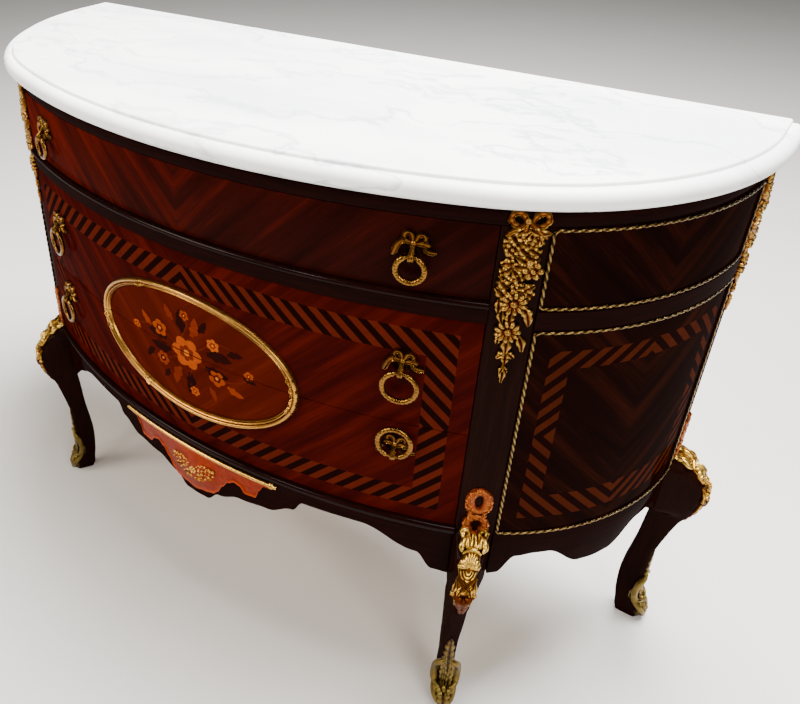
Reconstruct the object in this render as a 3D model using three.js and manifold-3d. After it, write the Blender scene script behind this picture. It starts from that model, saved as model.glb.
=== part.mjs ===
// A bow fronted commode chest with a marble top, three drawers and four cabriole legs.
// Millimetres, +Z up, the front looks towards -Y.
// The plan is a D: a wide front arc, a tighter arc round each end and a short straight to the back.
// A place on the case is given by s, the length along that line from the middle of the front,
// and by out, the distance outwards from it. The back plane is y = 0 until the last lines.
import * as THREE from 'three';
import { mergeVertices } from 'three/addons/utils/BufferGeometryUtils.js';
import Module from 'manifold-3d';

const wasm = await Module();
wasm.setup();

// Case, in plan and in height
const caseHalfWidth = 602;
const caseDepth = 448.6;
const frontRadius = 1030;
const endRadius = 352;
const marbleThickness = 29.6;
const marbleOverhang = 20;
const topBandHeight = 22.8;
const seat = 0.4;
const frontFacets = 12;
const endFacets = 14;
const overrun = 1;

// Heights of the case from the floor up: the legs, three drawer openings with a rail, and the top
const caseFloor = 371;
const legOverlap = 1;
const lowerOpening = 161.3;
const middleOpening = 170.2;
const railHeight = 28.5;
const upperOpening = 96.2;
const legHeight = caseFloor + legOverlap;
const seamHeight = caseFloor + lowerOpening;
const railBottom = seamHeight + middleOpening;
const railTop = railBottom + railHeight;
const topBoardBottom = railTop + upperOpening;
const topBoardTop = topBoardBottom + topBandHeight;
const marbleBottom = topBoardTop + seat;
const overallHeight = marbleBottom + marbleThickness;

// Stiles, legs and boards
const frontStileSetback = 25;
const stileWidth = 52;
const stileDepth = 45;
const rearStileWidth = 68.6;
const rearLegWidth = 56;
const kneeOut = 57.5;
const panelThickness = 20;
const boardThickness = 18;
const dividerThickness = 16;
const backPanelThickness = 12;
const backPanelInset = 1;
const backPanelDrop = 31;

// Drawers
const drawerFrontThickness = 22;
const drawerGap = 1;
const drawerSideGap = 11.2;
const drawerWall = 12;
const drawerBottomThickness = 6;
const drawerBottomRise = 8;
const drawerBackGap = 16;
const drawerHeadroom = 11;
const runGap = 0.5;
const guideWidth = 14;
const guideHeight = 24;
const guideSetback = 4;

// The plan line
const turnAngle = Math.asin((caseHalfWidth - endRadius) / (frontRadius - endRadius));
const frontArc = frontRadius * turnAngle;
const endArc = endRadius * (Math.PI / 2 - turnAngle);
const frontCentreY = frontRadius - caseDepth;
const endCentreX = caseHalfWidth - endRadius;
const endCentreY = frontCentreY - (frontRadius - endRadius) * Math.cos(turnAngle);
const halfGirth = frontArc + endArc - endCentreY;
const frontStileFrom = frontArc + frontStileSetback;
const rearStileFrom = halfGirth - rearStileWidth;

function headingAt(s) {
  const along = Math.abs(s);
  if (along < frontArc) return along / frontRadius;
  if (along < frontArc + endArc) return turnAngle + (along - frontArc) / endRadius;
  return Math.PI / 2;
}

function plan(s, out) {
  const along = Math.abs(s);
  const side = s < 0 ? -1 : 1;
  const heading = headingAt(s);
  const sine = Math.sin(heading);
  const cosine = Math.cos(heading);
  if (along < frontArc) {
    return [side * (frontRadius + out) * sine, frontCentreY - (frontRadius + out) * cosine];
  }
  if (along < frontArc + endArc) {
    return [side * (endCentreX + (endRadius + out) * sine), endCentreY - (endRadius + out) * cosine];
  }
  return [side * (caseHalfWidth + out), endCentreY + along - frontArc - endArc];
}

// Facing pieces share one grid of stations, so that their facets lie parallel.
const gridHalf = [];
for (let k = 0; k < frontFacets; k++) gridHalf.push(frontArc * k / frontFacets);
for (let k = 0; k < endFacets; k++) gridHalf.push(frontArc + endArc * k / endFacets);
gridHalf.push(frontArc + endArc, halfGirth);
const grid = [...gridHalf.slice(1).map((s) => -s).reverse(), ...gridHalf];

function stations(from, to) {
  return [from, ...grid.filter((s) => s > from + seat && s < to - seat), to];
}

// Meshes are made by joining rings of points
function ringCap(ring) {
  const points = ring.map((p) => new THREE.Vector3(...p));
  const normal = new THREE.Vector3();
  points.forEach((p, i) => normal.add(p.clone().cross(points[(i + 1) % points.length])));
  normal.normalize();
  const u = points[1].clone().sub(points[0]).normalize();
  const v = normal.clone().cross(u);
  const flat = points.map((p) => new THREE.Vector2(p.dot(u), p.dot(v)));
  return THREE.ShapeUtils.triangulateShape(flat, []).map(([a, b, c]) => {
    const turn = flat[b].clone().sub(flat[a]).cross(flat[c].clone().sub(flat[a]));
    return turn > 0 ? [a, b, c] : [a, c, b];
  });
}

function enclosedVolume(positions, index) {
  const corner = (i) => new THREE.Vector3().fromArray(positions, 3 * i);
  let sum = 0;
  for (let i = 0; i < index.length; i += 3) {
    sum += corner(index[i]).dot(corner(index[i + 1]).cross(corner(index[i + 2])));
  }
  return sum;
}

function loft(rings, closed = false) {
  const count = rings[0].length;
  const index = [];
  const spans = closed ? rings.length : rings.length - 1;
  for (let r = 0; r < spans; r++) {
    const here = r * count;
    const next = ((r + 1) % rings.length) * count;
    for (let i = 0; i < count; i++) {
      const j = (i + 1) % count;
      index.push(here + i, here + j, next + j, here + i, next + j, next + i);
    }
  }
  if (!closed) {
    const last = (rings.length - 1) * count;
    for (const [a, b, c] of ringCap(rings[0])) index.push(a, c, b);
    for (const [a, b, c] of ringCap(rings[rings.length - 1])) index.push(last + a, last + b, last + c);
  }
  const positions = rings.flat(2);
  if (enclosedVolume(positions, index) < 0) index.reverse();
  const geometry = new THREE.BufferGeometry();
  geometry.setAttribute('position', new THREE.Float32BufferAttribute(positions, 3));
  geometry.setIndex(index);
  return geometry;
}

// A band runs round the case with one section of [out, z] points
function band(from, to, section) {
  return loft(stations(from, to).map((s) => section.map(([out, z]) => [...plan(s, out), z])));
}

function slab(outline, bottom, top) {
  return loft([bottom, top].map((z) => outline.map(([x, y]) => [x, y, z])));
}

function block(x, y, z) {
  const outline = [[x[0], y[0]], [x[1], y[0]], [x[1], y[1]], [x[0], y[1]]];
  return slab(outline, z[0], z[1]);
}

// Cuts and joins
function toSolid(geometry) {
  const bare = geometry.clone();
  bare.deleteAttribute('normal');
  bare.deleteAttribute('uv');
  const merged = mergeVertices(bare);
  return new wasm.Manifold(new wasm.Mesh({
    numProp: 3,
    vertProperties: Float32Array.from(merged.attributes.position.array),
    triVerts: Uint32Array.from(merged.index.array),
  }));
}

function toGeometry(solid) {
  const mesh = solid.getMesh();
  const geometry = new THREE.BufferGeometry();
  geometry.setAttribute('position', new THREE.Float32BufferAttribute(mesh.vertProperties, 3));
  geometry.setIndex(Array.from(mesh.triVerts));
  return geometry;
}

function join(geometries) {
  return toGeometry(geometries.map(toSolid).reduce((whole, piece) => whole.add(piece)));
}

function mirrored(geometry) {
  const copy = geometry.index ? geometry.clone() : mergeVertices(geometry);
  const position = copy.attributes.position;
  for (let i = 0; i < position.count; i++) position.setX(i, -position.getX(i));
  copy.setIndex(Array.from(copy.index.array).reverse());
  return copy;
}

// A relief is modelled flat, with x across, y up and z out, and then bent on to the case
function onCase(geometry, s, z) {
  const copy = geometry.clone();
  const position = copy.attributes.position;
  for (let i = 0; i < position.count; i++) {
    const [x, y] = plan(s + position.getX(i), position.getZ(i));
    position.setXYZ(i, x, y, z + position.getY(i));
  }
  return copy;
}

function between(low, high, share) {
  return low + (high - low) * share;
}

function easedTable(table, share, column) {
  const last = table.length - 1;
  let i = 0;
  while (i < last - 1 && share > table[i + 1][0]) i++;
  const part = (share - table[i][0]) / (table[i + 1][0] - table[i][0]);
  const eased = (1 - Math.cos(Math.PI * Math.min(Math.max(part, 0), 1))) / 2;
  return between(table[i][column], table[i + 1][column], eased);
}

// Finishes
const finishes = {
  marble: { color: 0xf0f0ee, roughness: 0.25, metalness: 0 },
  ebonised: { color: 0x1a0a08, roughness: 0.3, metalness: 0 },
  veneer: { color: 0x5a160a, roughness: 0.3, metalness: 0 },
  deal: { color: 0xb98f5c, roughness: 0.75, metalness: 0 },
  gilt: { color: 0xc2913c, roughness: 0.32, metalness: 1 },
};

const chest = new THREE.Group();
const body = new THREE.Group();
chest.add(body);

function addPiece(name, geometry, finish) {
  geometry.computeVertexNormals();
  const mesh = new THREE.Mesh(geometry, new THREE.MeshStandardMaterial(finishes[finish]));
  mesh.name = name;
  body.add(mesh);
}

function addPair(name, geometry, finish) {
  addPiece(`${name}_right`, geometry, finish);
  addPiece(`${name}_left`, mirrored(geometry), finish);
}

// Marble top: full bullnose, a groove and a small step up to the flat
const bullnoseRadius = 12.6;
const bullnoseFacets = 4;
const marbleStep = 3;
const marbleEdge = [];
for (let k = 0; k <= bullnoseFacets; k++) {
  const angle = Math.PI * (k / bullnoseFacets - 1 / 2);
  marbleEdge.push([
    marbleOverhang - bullnoseRadius + bullnoseRadius * Math.cos(angle),
    marbleBottom + bullnoseRadius + bullnoseRadius * Math.sin(angle),
  ]);
}
const bullnoseTop = marbleBottom + 2 * bullnoseRadius;
marbleEdge.push([marbleOverhang - bullnoseRadius - marbleStep, bullnoseTop]);
marbleEdge.push([marbleOverhang - bullnoseRadius - marbleStep, overallHeight - marbleStep / 2]);
marbleEdge.push([marbleOverhang - bullnoseRadius - 2 * marbleStep, overallHeight]);
const girth = stations(-halfGirth, halfGirth);
const marbleRings = marbleEdge.map(([out, z]) => girth.map((s) => [...plan(s, out), z]));
addPiece('marble_top', loft(marbleRings), 'marble');

// Top board, whose ebonised edge is the dark band below the marble
addPiece('top_board', slab(girth.map((s) => plan(s, 0)), topBoardBottom, topBoardTop), 'ebonised');

// Rail under the top drawer, with its bead
const railDepth = 60;
const railProud = 2.5;
const beadRadius = 4.5;
const beadFacets = 2;
const railSection = [[-railDepth, railBottom], [railProud, railBottom]];
for (let k = 0; k <= beadFacets; k++) {
  const angle = Math.PI * (k / beadFacets - 1 / 2);
  railSection.push([
    railProud + beadRadius * Math.cos(angle),
    railTop - beadRadius + beadRadius * Math.sin(angle),
  ]);
}
railSection.push([-railDepth, railTop]);
const frontEnd = frontStileFrom - seat;
addPiece('middle_rail', band(-frontEnd, frontEnd, railSection), 'ebonised');

// Boards inside the case, each notched round the stiles
const stileBack = -(stileDepth + seat);
const panelBack = -(panelThickness + seat);
const frontStileTo = frontStileFrom + stileWidth;
const boardRear = -(backPanelInset + backPanelThickness + seat);

function boardOutline(frontOut) {
  const behindStile = Math.min(frontOut, stileBack);
  const side = [
    ...stations(0, frontEnd).slice(1).map((s) => plan(s, frontOut)),
    plan(frontEnd, behindStile),
    plan(frontStileTo + seat, behindStile),
    ...stations(frontStileTo + seat, rearStileFrom - seat).map((s) => plan(s, panelBack)),
    plan(rearStileFrom - seat, stileBack),
    [caseHalfWidth + stileBack, boardRear],
  ];
  const distinct = side.filter((p, i) => i === 0 || Math.hypot(p[0] - side[i - 1][0], p[1] - side[i - 1][1]) > seat);
  const otherSide = distinct.map(([x, y]) => [-x, y]).reverse();
  return [plan(0, frontOut), ...distinct, ...otherSide];
}

const drawerBoxHalfWidth = plan(frontStileFrom, -stileDepth)[0] - drawerSideGap;
const guideInner = drawerBoxHalfWidth + runGap;
const guideFront = plan(frontEnd, -(railDepth + seat))[1] + guideSetback;
const drawerBoxBack = boardRear - drawerBackGap;

function drawerBoard(frontOut, bottom, top) {
  const pieces = [slab(boardOutline(frontOut), bottom, top)];
  for (const side of [-1, 1]) {
    const x = [side * guideInner, side * (guideInner + guideWidth)];
    pieces.push(block(x, [guideFront, drawerBoxBack], [top - overrun, top + guideHeight]));
  }
  return join(pieces);
}

addPiece(
  'upper_divider',
  drawerBoard(-(railDepth + seat), railTop - dividerThickness, railTop),
  'deal',
);
const lowerDividerTop = seamHeight + dividerThickness / 2;
addPiece(
  'lower_divider',
  drawerBoard(-(drawerFrontThickness + drawerGap), lowerDividerTop - dividerThickness, lowerDividerTop),
  'deal',
);
addPiece('bottom_board', drawerBoard(panelBack, caseFloor - boardThickness, caseFloor), 'deal');

// Back panel between the rear legs
const backHalfWidth = caseHalfWidth + stileBack;
addPiece('back_panel', block(
  [-backHalfWidth, backHalfWidth],
  [-(backPanelInset + backPanelThickness), -backPanelInset],
  [caseFloor - backPanelDrop, topBoardBottom - seat],
), 'deal');

// End panels: plain above, ladder inlay below, with a raised dark band between
const endFrom = frontStileTo + seat;
const endTo = rearStileFrom - seat;
const endBandDrop = 8;
const endBandHeight = 27;
const endBandTop = railTop - endBandDrop;
const endBandBottom = endBandTop - endBandHeight;
const endBandSlope = 1.6;
const endPanelBottom = caseFloor - drawerBottomRise;
const endPanelSection = [
  [-panelThickness, endPanelBottom],
  [0, endPanelBottom],
  [0, endBandBottom],
  [railProud, endBandBottom + endBandSlope],
  [railProud, endBandTop - endBandSlope],
  [0, endBandTop],
  [0, topBoardBottom - seat],
  [-panelThickness, topBoardBottom - seat],
];
addPair('end_panel', band(endFrom, endTo, endPanelSection), 'veneer');

// Aprons: boards with a shaped lower edge; each row is [share of the half length, share of the drop]
const frontApronDrop = 121;
const frontApronShares = [
  [0, 1], [0.05, 0.99], [0.11, 0.82], [0.21, 0.69], [0.335, 0.64], [0.435, 0.48], [0.475, 0.31],
  [0.69, 0.3], [0.885, 0.54], [0.945, 0.77], [1, 0.79],
];
const endApronDrop = 82;
const endApronShares = [
  [0, 0.93], [0.15, 0.91], [0.5, 0.5], [0.62, 0.5], [0.78, 0.55], [0.93, 0.95], [1, 0.98],
];

function apron(from, to, top, drop, shares) {
  const middle = (from + to) / 2;
  const half = (to - from) / 2;
  const wanted = new Set(stations(from, to));
  for (const [share] of shares) {
    wanted.add(middle + half * share);
    wanted.add(middle - half * share);
  }
  const along = [...wanted].sort((a, b) => a - b);
  const spaced = along.filter((s, i) => i === 0 || i === along.length - 1 || s - along[i - 1] > seat);
  return loft(spaced.map((s) => {
    const low = top - drop * easedTable(shares, Math.abs(s - middle) / half, 1);
    return [[-panelThickness, low], [0, low], [0, top], [-panelThickness, top]]
      .map(([out, z]) => [...plan(s, out), z]);
  }));
}

addPiece('front_apron', apron(-frontEnd, frontEnd, caseFloor, frontApronDrop, frontApronShares), 'ebonised');
const endApronTop = endPanelBottom - seat;
addPair('end_apron', apron(endFrom, endTo, endApronTop, endApronDrop, endApronShares), 'ebonised');

// Bead under the bottom drawer
const bottomBeadHeight = 12;
const bottomBeadTop = caseFloor - overrun;
const bottomBeadSection = [[seat, bottomBeadTop - bottomBeadHeight]];
for (let k = 0; k <= beadFacets; k++) {
  const angle = Math.PI * (k / beadFacets - 1 / 2);
  bottomBeadSection.push([
    railProud + beadRadius * Math.cos(angle),
    bottomBeadTop - bottomBeadHeight / 2 + (bottomBeadHeight / 2) * Math.sin(angle),
  ]);
}
bottomBeadSection.push([seat, bottomBeadTop]);
addPiece('bottom_bead', band(-frontEnd, frontEnd, bottomBeadSection), 'ebonised');

// Legs. Each row is [height, out, in, front width, back width, lean] from the floor up:
// the height as a share of the leg's height, out and in as shares of the knee's reach,
// and the widths and the sideways lean as shares of the stile's width.
const legShares = [
  [0, 0.38, -0.2, 0.4, 0.42, -0.12],
  [0.032, 0.5, -0.27, 0.43, 0.45, -0.16],
  [0.08, 0.46, -0.3, 0.47, 0.5, -0.18],
  [0.13, 0.27, -0.36, 0.43, 0.45, -0.16],
  [0.215, 0.25, -0.4, 0.41, 0.42, -0.15],
  [0.3, 0.26, -0.39, 0.41, 0.43, -0.165],
  [0.4, 0.27, -0.31, 0.45, 0.49, -0.165],
  [0.48, 0.36, -0.25, 0.475, 0.56, -0.155],
  [0.57, 0.49, -0.21, 0.46, 0.63, -0.15],
  [0.635, 0.605, -0.18, 0.44, 0.67, -0.155],
  [0.69, 0.75, -0.14, 0.44, 0.68, -0.15],
  [0.75, 0.885, -0.17, 0.465, 0.76, -0.2],
  [0.82, 0.965, -0.48, 0.54, 0.985, -0.22],
  [0.87, 0.89, -0.745, 0.6, 1, -0.19],
  [0.93, 0.635, -0.78, 0.7, 1, -0.13],
  [0.96, 0.34, -0.78, 0.84, 1, -0.03],
  [0.982, 0.1, -0.78, 0.92, 1, 0],
  [1, 0, -0.78, 1, 1, 0],
];
const legChamferShare = 0.16;
const blockEdgeShare = 0.06;
const blockFootShare = 0.74;
const blockFadeShare = 0.07;
const faceFadeShare = 0.04;
const legSections = 17;

const legColumns = [1, 2, 3, 4, 5].map((column) => (
  new THREE.SplineCurve(legShares.map((row) => new THREE.Vector2(row[0], row[column])))
));

function legColumn(column, heightShare) {
  const last = legShares.length - 1;
  const held = Math.min(Math.max(heightShare, 0), 1);
  let i = 0;
  while (i < last - 1 && held > legShares[i + 1][0]) i++;
  const part = (held - legShares[i][0]) / (legShares[i + 1][0] - legShares[i][0]);
  return legColumns[column - 1].getPoint((i + part) / last).y;
}

function smooth(share) {
  const held = Math.min(Math.max(share, 0), 1);
  return held * held * (3 - 2 * held);
}

// A leg stands on the middle of its stile: across runs along the case and out away from it
function legFrame(stile) {
  const middle = (stile.from + stile.to) / 2;
  const [x, y] = plan(stile.legMiddle, 0);
  const heading = headingAt(middle);
  return {
    place: (across, out) => [
      x + across * Math.cos(heading) + out * Math.sin(heading),
      y + across * Math.sin(heading) - out * Math.cos(heading),
    ],
    heading,
  };
}

// The section of a leg at one height, as eight points from the back, round the front to the back
function legSection(stile, heightShare) {
  const frame = legFrame(stile);
  const out = kneeOut * legColumn(1, heightShare);
  const back = kneeOut * legColumn(2, heightShare);
  const front = stile.legWidth * legColumn(3, heightShare) / 2;
  const rear = stile.legWidth * legColumn(4, heightShare) / 2;
  const lean = stile.legWidth * legColumn(5, heightShare) * stile.lean;
  const chamfer = legChamferShare * front * 2;
  const half = [[rear, back], [(front + rear) / 2, (back + out) / 2], [front, out - chamfer], [front - chamfer, out]];
  const legPoints = [
    ...half.map(([a, d]) => [lean - a, d]),
    ...half.map(([a, d]) => [lean + a, d]).reverse(),
  ].map(([across, d]) => frame.place(across, d));
  const edge = -blockEdgeShare * (stile.to - stile.from);
  const at = (share, d) => plan(between(stile.from, stile.to, share), d);
  const stilePoints = [
    at(0, -stileDepth), at(0, edge), at(0, 0), at(legChamferShare, 0),
    at(1 - legChamferShare, 0), at(1, 0), at(1, edge), at(1, -stileDepth),
  ];
  const backFade = smooth((blockFootShare - heightShare) / blockFadeShare);
  const faceFade = smooth((1 - heightShare) / faceFadeShare);
  return legPoints.map(([x, y], i) => {
    const fade = i >= 2 && i <= 5 ? faceFade : backFade;
    return [between(stilePoints[i][0], x, fade), between(stilePoints[i][1], y, fade)];
  });
}

function grown(outline, distance) {
  return outline.map(([x, y], i) => {
    const before = outline[(i + outline.length - 1) % outline.length];
    const after = outline[(i + 1) % outline.length];
    const a = new THREE.Vector2(x - before[0], y - before[1]).normalize();
    const b = new THREE.Vector2(after[0] - x, after[1] - y).normalize();
    const normal = new THREE.Vector2(a.y + b.y, -a.x - b.x).normalize();
    const reach = distance / Math.max(normal.dot(new THREE.Vector2(a.y, -a.x)), 1 / 2);
    return [x + normal.x * reach, y + normal.y * reach];
  });
}

const legHeights = [];
for (let k = 0; k <= legSections; k++) legHeights.push(k / legSections);

function leg(stile) {
  const rings = legHeights.map((share) => legSection(stile, share).map((p) => [...p, legHeight * share]));
  rings.push(legSection(stile, 1).map((p) => [...p, topBoardBottom - seat]));
  return loft(rings);
}

const frontStile = {
  from: frontStileFrom,
  to: frontStileTo,
  legMiddle: frontStileFrom + stileWidth / 2,
  legWidth: stileWidth,
  lean: 1,
};
const rearStile = {
  from: rearStileFrom,
  to: halfGirth,
  legMiddle: halfGirth - rearLegWidth / 2,
  legWidth: rearLegWidth,
  lean: 0,
};
addPair('front_leg', leg(frontStile), 'ebonised');
addPair('rear_leg', leg(rearStile), 'ebonised');

// Mounts that clasp a leg are cut from a shell round it, by an outline seen from the front
// and by how far they reach round the sides
function legShell(stile, fromShare, toShare, growth) {
  const shares = [fromShare, ...legHeights.filter((h) => h > fromShare && h < toShare), toShare];
  return loft(shares.map((share) => (
    grown(legSection(stile, Math.min(share, 1)), growth(share)).map((p) => [...p, legHeight * share])
  )));
}

function frontCutter(stile, outline, holes) {
  const frame = legFrame(stile);
  const pieces = [outline, ...holes].map((points) => loft([-stileDepth, 2 * kneeOut].map((out) => (
    points.map(([across, share]) => [...frame.place(across, out), legHeight * share])
  ))));
  return pieces.map(toSolid).reduce((whole, hole) => whole.subtract(hole));
}

function sideCutter(stile, shares, wrap) {
  const frame = legFrame(stile);
  const back = shares.map((share) => [kneeOut * legColumn(1, Math.min(share, 1)) - wrap(share), share]);
  const front = [[2 * kneeOut, shares[shares.length - 1]], [2 * kneeOut, shares[0]]];
  return toSolid(loft([-stile.legWidth, stile.legWidth].map((across) => (
    [...back, ...front].map(([out, share]) => [...frame.place(across, out), legHeight * share])
  ))));
}

// Each row of an outline is [height share, half width share]; the right side mirrors the left
function mountOutline(stile, outlineShares) {
  const half = outlineShares.map(([height, width]) => {
    const lean = stile.legWidth * stile.lean * legColumn(5, Math.min(height, 1));
    return [lean, stile.legWidth * width / 2, height];
  });
  return [
    ...half.map(([lean, width, height]) => [lean + width, height]),
    ...half.map(([lean, width, height]) => [lean - width, height]).reverse(),
  ];
}

function ovalHole(stile, heightShare, widthShare, tallShare) {
  const facets = 6;
  const points = [];
  for (let k = 0; k < facets; k++) {
    const angle = 2 * Math.PI * k / facets;
    points.push([
      stile.legWidth * widthShare * Math.cos(angle) / 2,
      heightShare + tallShare * Math.sin(angle) / 2,
    ]);
  }
  return points;
}

function claspMount(stile, mount) {
  const from = mount.outlineShares[0][0];
  const to = mount.outlineShares[mount.outlineShares.length - 1][0];
  const outer = toSolid(legShell(stile, from, to, (share) => seat + mount.thickness(share)));
  const inner = toSolid(legShell(stile, from - overrun / legHeight, to + overrun / legHeight, () => seat));
  const shares = [from, ...legHeights.filter((h) => h > from && h < to), to];
  return toGeometry(outer
    .subtract(inner)
    .intersect(frontCutter(stile, mountOutline(stile, mount.outlineShares), mount.holes))
    .intersect(sideCutter(stile, shares, mount.wrap)));
}

// Knee mount: pierced cartouche on the stile, shell and leaves over the knee
const kneeThickness = 4.2;
const kneeWrap = 13;
const kneeMountShares = [
  [0.645, 0.14], [0.68, 0.32], [0.78, 0.46], [0.83, 0.6], [0.92, 0.62], [0.95, 0.54],
  [0.975, 0.74], [1.01, 0.74], [1.055, 0.54], [1.1, 0.74], [1.155, 0.66], [1.2, 0.22],
];
const kneeHoleShares = [[1.008, 0.16, 0.05], [1.135, 0.18, 0.05]];
const kneeMount = (stile) => ({
  outlineShares: kneeMountShares,
  holes: kneeHoleShares.map((shares) => ovalHole(stile, ...shares)),
  thickness: () => kneeThickness,
  wrap: (share) => (share > 1 ? stileDepth / 2 : kneeWrap),
});
addPair('front_knee_mount', claspMount(frontStile, kneeMount(frontStile)), 'gilt');
addPair('rear_knee_mount', claspMount(rearStile, kneeMount(rearStile)), 'gilt');

// Sabot: a cast shoe round the toe with a pointed leaf up the front of the leg
const sabotThickness = 3;
const sabotToeThickness = 7.5;
const sabotToeShare = 0.14;
const sabotWrap = 26;
const sabotShares = [
  [0, 0.72], [0.06, 0.78], [0.14, 0.5], [0.25, 0.36], [0.33, 0.26], [0.41, 0.05],
];
const sabot = {
  outlineShares: sabotShares,
  holes: [],
  thickness: (share) => between(sabotToeThickness, sabotThickness, smooth(share / sabotToeShare)),
  wrap: (share) => between(sabotWrap, sabotThickness, smooth(share / sabotToeShare - 1 / 2)),
};
addPair('front_sabot', claspMount(frontStile, sabot), 'gilt');
addPair('rear_sabot', claspMount(rearStile, sabot), 'gilt');

// Drawers: bowed front, dovetailed box open at the top, and a bottom let in between the sides
const drawerEnd = frontStileFrom - drawerGap;
const frontInner = -(drawerFrontThickness + seat);

function frontInnerY(x) {
  return frontCentreY - Math.sqrt((frontRadius + frontInner) ** 2 - x ** 2);
}

function drawerFront(bottom, top) {
  return band(-drawerEnd, drawerEnd, [
    [-drawerFrontThickness, bottom], [0, bottom], [0, top], [-drawerFrontThickness, top],
  ]);
}

function drawerBox(bottom, top) {
  const outer = drawerBoxHalfWidth;
  const inner = outer - drawerWall;
  const backInner = drawerBoxBack - drawerWall;
  return slab([
    [-outer, frontInnerY(outer)], [-inner, frontInnerY(inner)], [-inner, backInner], [inner, backInner],
    [inner, frontInnerY(inner)], [outer, frontInnerY(outer)], [outer, drawerBoxBack], [-outer, drawerBoxBack],
  ], bottom, top);
}

function drawerBottom(bottom) {
  const inner = drawerBoxHalfWidth - drawerWall - seat;
  const backInner = drawerBoxBack - drawerWall - seat;
  const along = grid.map((s) => plan(s, frontInner)).filter(([x]) => Math.abs(x) < inner - seat);
  const outline = [[-inner, frontInnerY(inner)], ...along, [inner, frontInnerY(inner)], [inner, backInner], [-inner, backInner]];
  return slab(outline, bottom, bottom + drawerBottomThickness);
}

const drawers = [
  { name: 'upper', bottom: railTop + drawerGap, top: topBoardBottom - drawerGap, floor: railTop },
  { name: 'middle', bottom: seamHeight + drawerGap / 2, top: railBottom - drawerGap, floor: lowerDividerTop },
  {
    name: 'lower',
    bottom: caseFloor + drawerGap,
    top: seamHeight - drawerGap / 2,
    floor: caseFloor,
    boxTop: lowerDividerTop - dividerThickness - drawerHeadroom,
  },
];
for (const drawer of drawers) {
  const boxBottom = drawer.floor + runGap;
  const boxTop = drawer.boxTop ?? drawer.top - drawerHeadroom;
  addPiece(`${drawer.name}_drawer_front`, drawerFront(drawer.bottom, drawer.top), 'veneer');
  addPiece(`${drawer.name}_drawer_box`, drawerBox(boxBottom, boxTop), 'deal');
  addPiece(`${drawer.name}_drawer_bottom`, drawerBottom(boxBottom + drawerBottomRise), 'deal');
}

// Ring pulls: a ribbon bow with a knuckle, and a ring whose straight pin turns in the knuckle
const pullInset = 90;
const pullPlace = frontStileFrom - pullInset;
const pullRise = { upper: 49, middle: 85.7, lower: 113 };
const pullFloor = { upper: railTop, middle: seamHeight, lower: caseFloor };
const ringOuter = { upper: 41, middle: 51, lower: 51 };
const ringTube = 4;
const pinRadius = 2;
const pinGap = 0.4;
const knuckleWall = 2;
const knuckleWidth = 6;
const hingeOut = 11;
const raisedLean = Math.PI / 45;
const ringSections = 13;
const tubeFacets = 5;
const knuckleFacets = 8;
const reliefFacets = 6;
const bowHalfWidth = 28;
const bowRise = 14;
const loopRadius = 8;
const ribbonWidth = 5;
const ribbonRelief = 4;
const bowRelief = 5.6;
const knotRadius = 4.5;
const tailShares = [[0.05, 0.7], [0.5, 0.75], [0.82, 0.08], [1, 0.12], [0.7, 0.98], [0.4, 1.15]];

function circle(radius, facets) {
  const points = [];
  for (let k = 0; k < facets; k++) {
    const angle = 2 * Math.PI * (k + 1 / 2) / facets;
    points.push([radius * Math.cos(angle), radius * Math.sin(angle)]);
  }
  return points;
}

// Low reliefs with flat backs, set at a point of the flat frame
function turned(profile, facets, across, up) {
  const lathe = new THREE.LatheGeometry(profile.map(([r, z]) => new THREE.Vector2(r, z)), facets);
  lathe.rotateX(Math.PI / 2);
  lathe.rotateZ(Math.PI / facets);
  lathe.translate(across, up, seat);
  return lathe;
}

function dome(radius, across, up, relief) {
  const shoulder = [radius * Math.sqrt(1 / 2), relief * Math.sqrt(1 / 2)];
  return turned([[0, 0], [radius, 0], shoulder, [0, relief]], reliefFacets, across, up);
}

function hoop(radius, width, across, up, relief) {
  const inner = radius - width / 2;
  return turned([[inner, 0], [radius + width / 2, 0], [radius, relief], [inner, 0]], reliefFacets, across, up);
}

// Knuckle round the x axis, with a bore for the pin
function knuckle() {
  const inner = pinRadius + pinGap;
  const outer = inner + knuckleWall;
  const half = knuckleWidth / 2;
  const profile = [[inner, -half], [outer, -half], [outer, half], [inner, half], [inner, -half]];
  const lathe = new THREE.LatheGeometry(profile.map(([r, x]) => new THREE.Vector2(r, x)), knuckleFacets);
  lathe.rotateZ(Math.PI / 2);
  lathe.translate(0, 0, hingeOut);
  return lathe;
}

// A ribbon end: out from the knot, over and down to its tip
function ribbonTail(side) {
  const outline = tailShares.map(([across, up]) => [side * across * bowHalfWidth, up * bowRise]);
  return slab(outline, seat, seat + ribbonRelief);
}

function bowPlate() {
  const half = knuckleWidth / 2;
  const outer = pinRadius + pinGap + knuckleWall;
  const neckTop = hingeOut - outer + knuckleWall / 2;
  const pieces = [block([-half, half], [-outer, outer], [seat, neckTop]), knuckle()];
  pieces.push(block([-half, half], [outer - overrun, bowRise], [seat, seat + ribbonRelief]));
  pieces.push(dome(knotRadius, 0, bowRise, bowRelief));
  for (const side of [-1, 1]) {
    pieces.push(ribbonTail(side));
    pieces.push(hoop(loopRadius, ribbonWidth, side * loopRadius, bowRise + loopRadius / 2, ribbonRelief));
  }
  return join(pieces);
}

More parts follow.
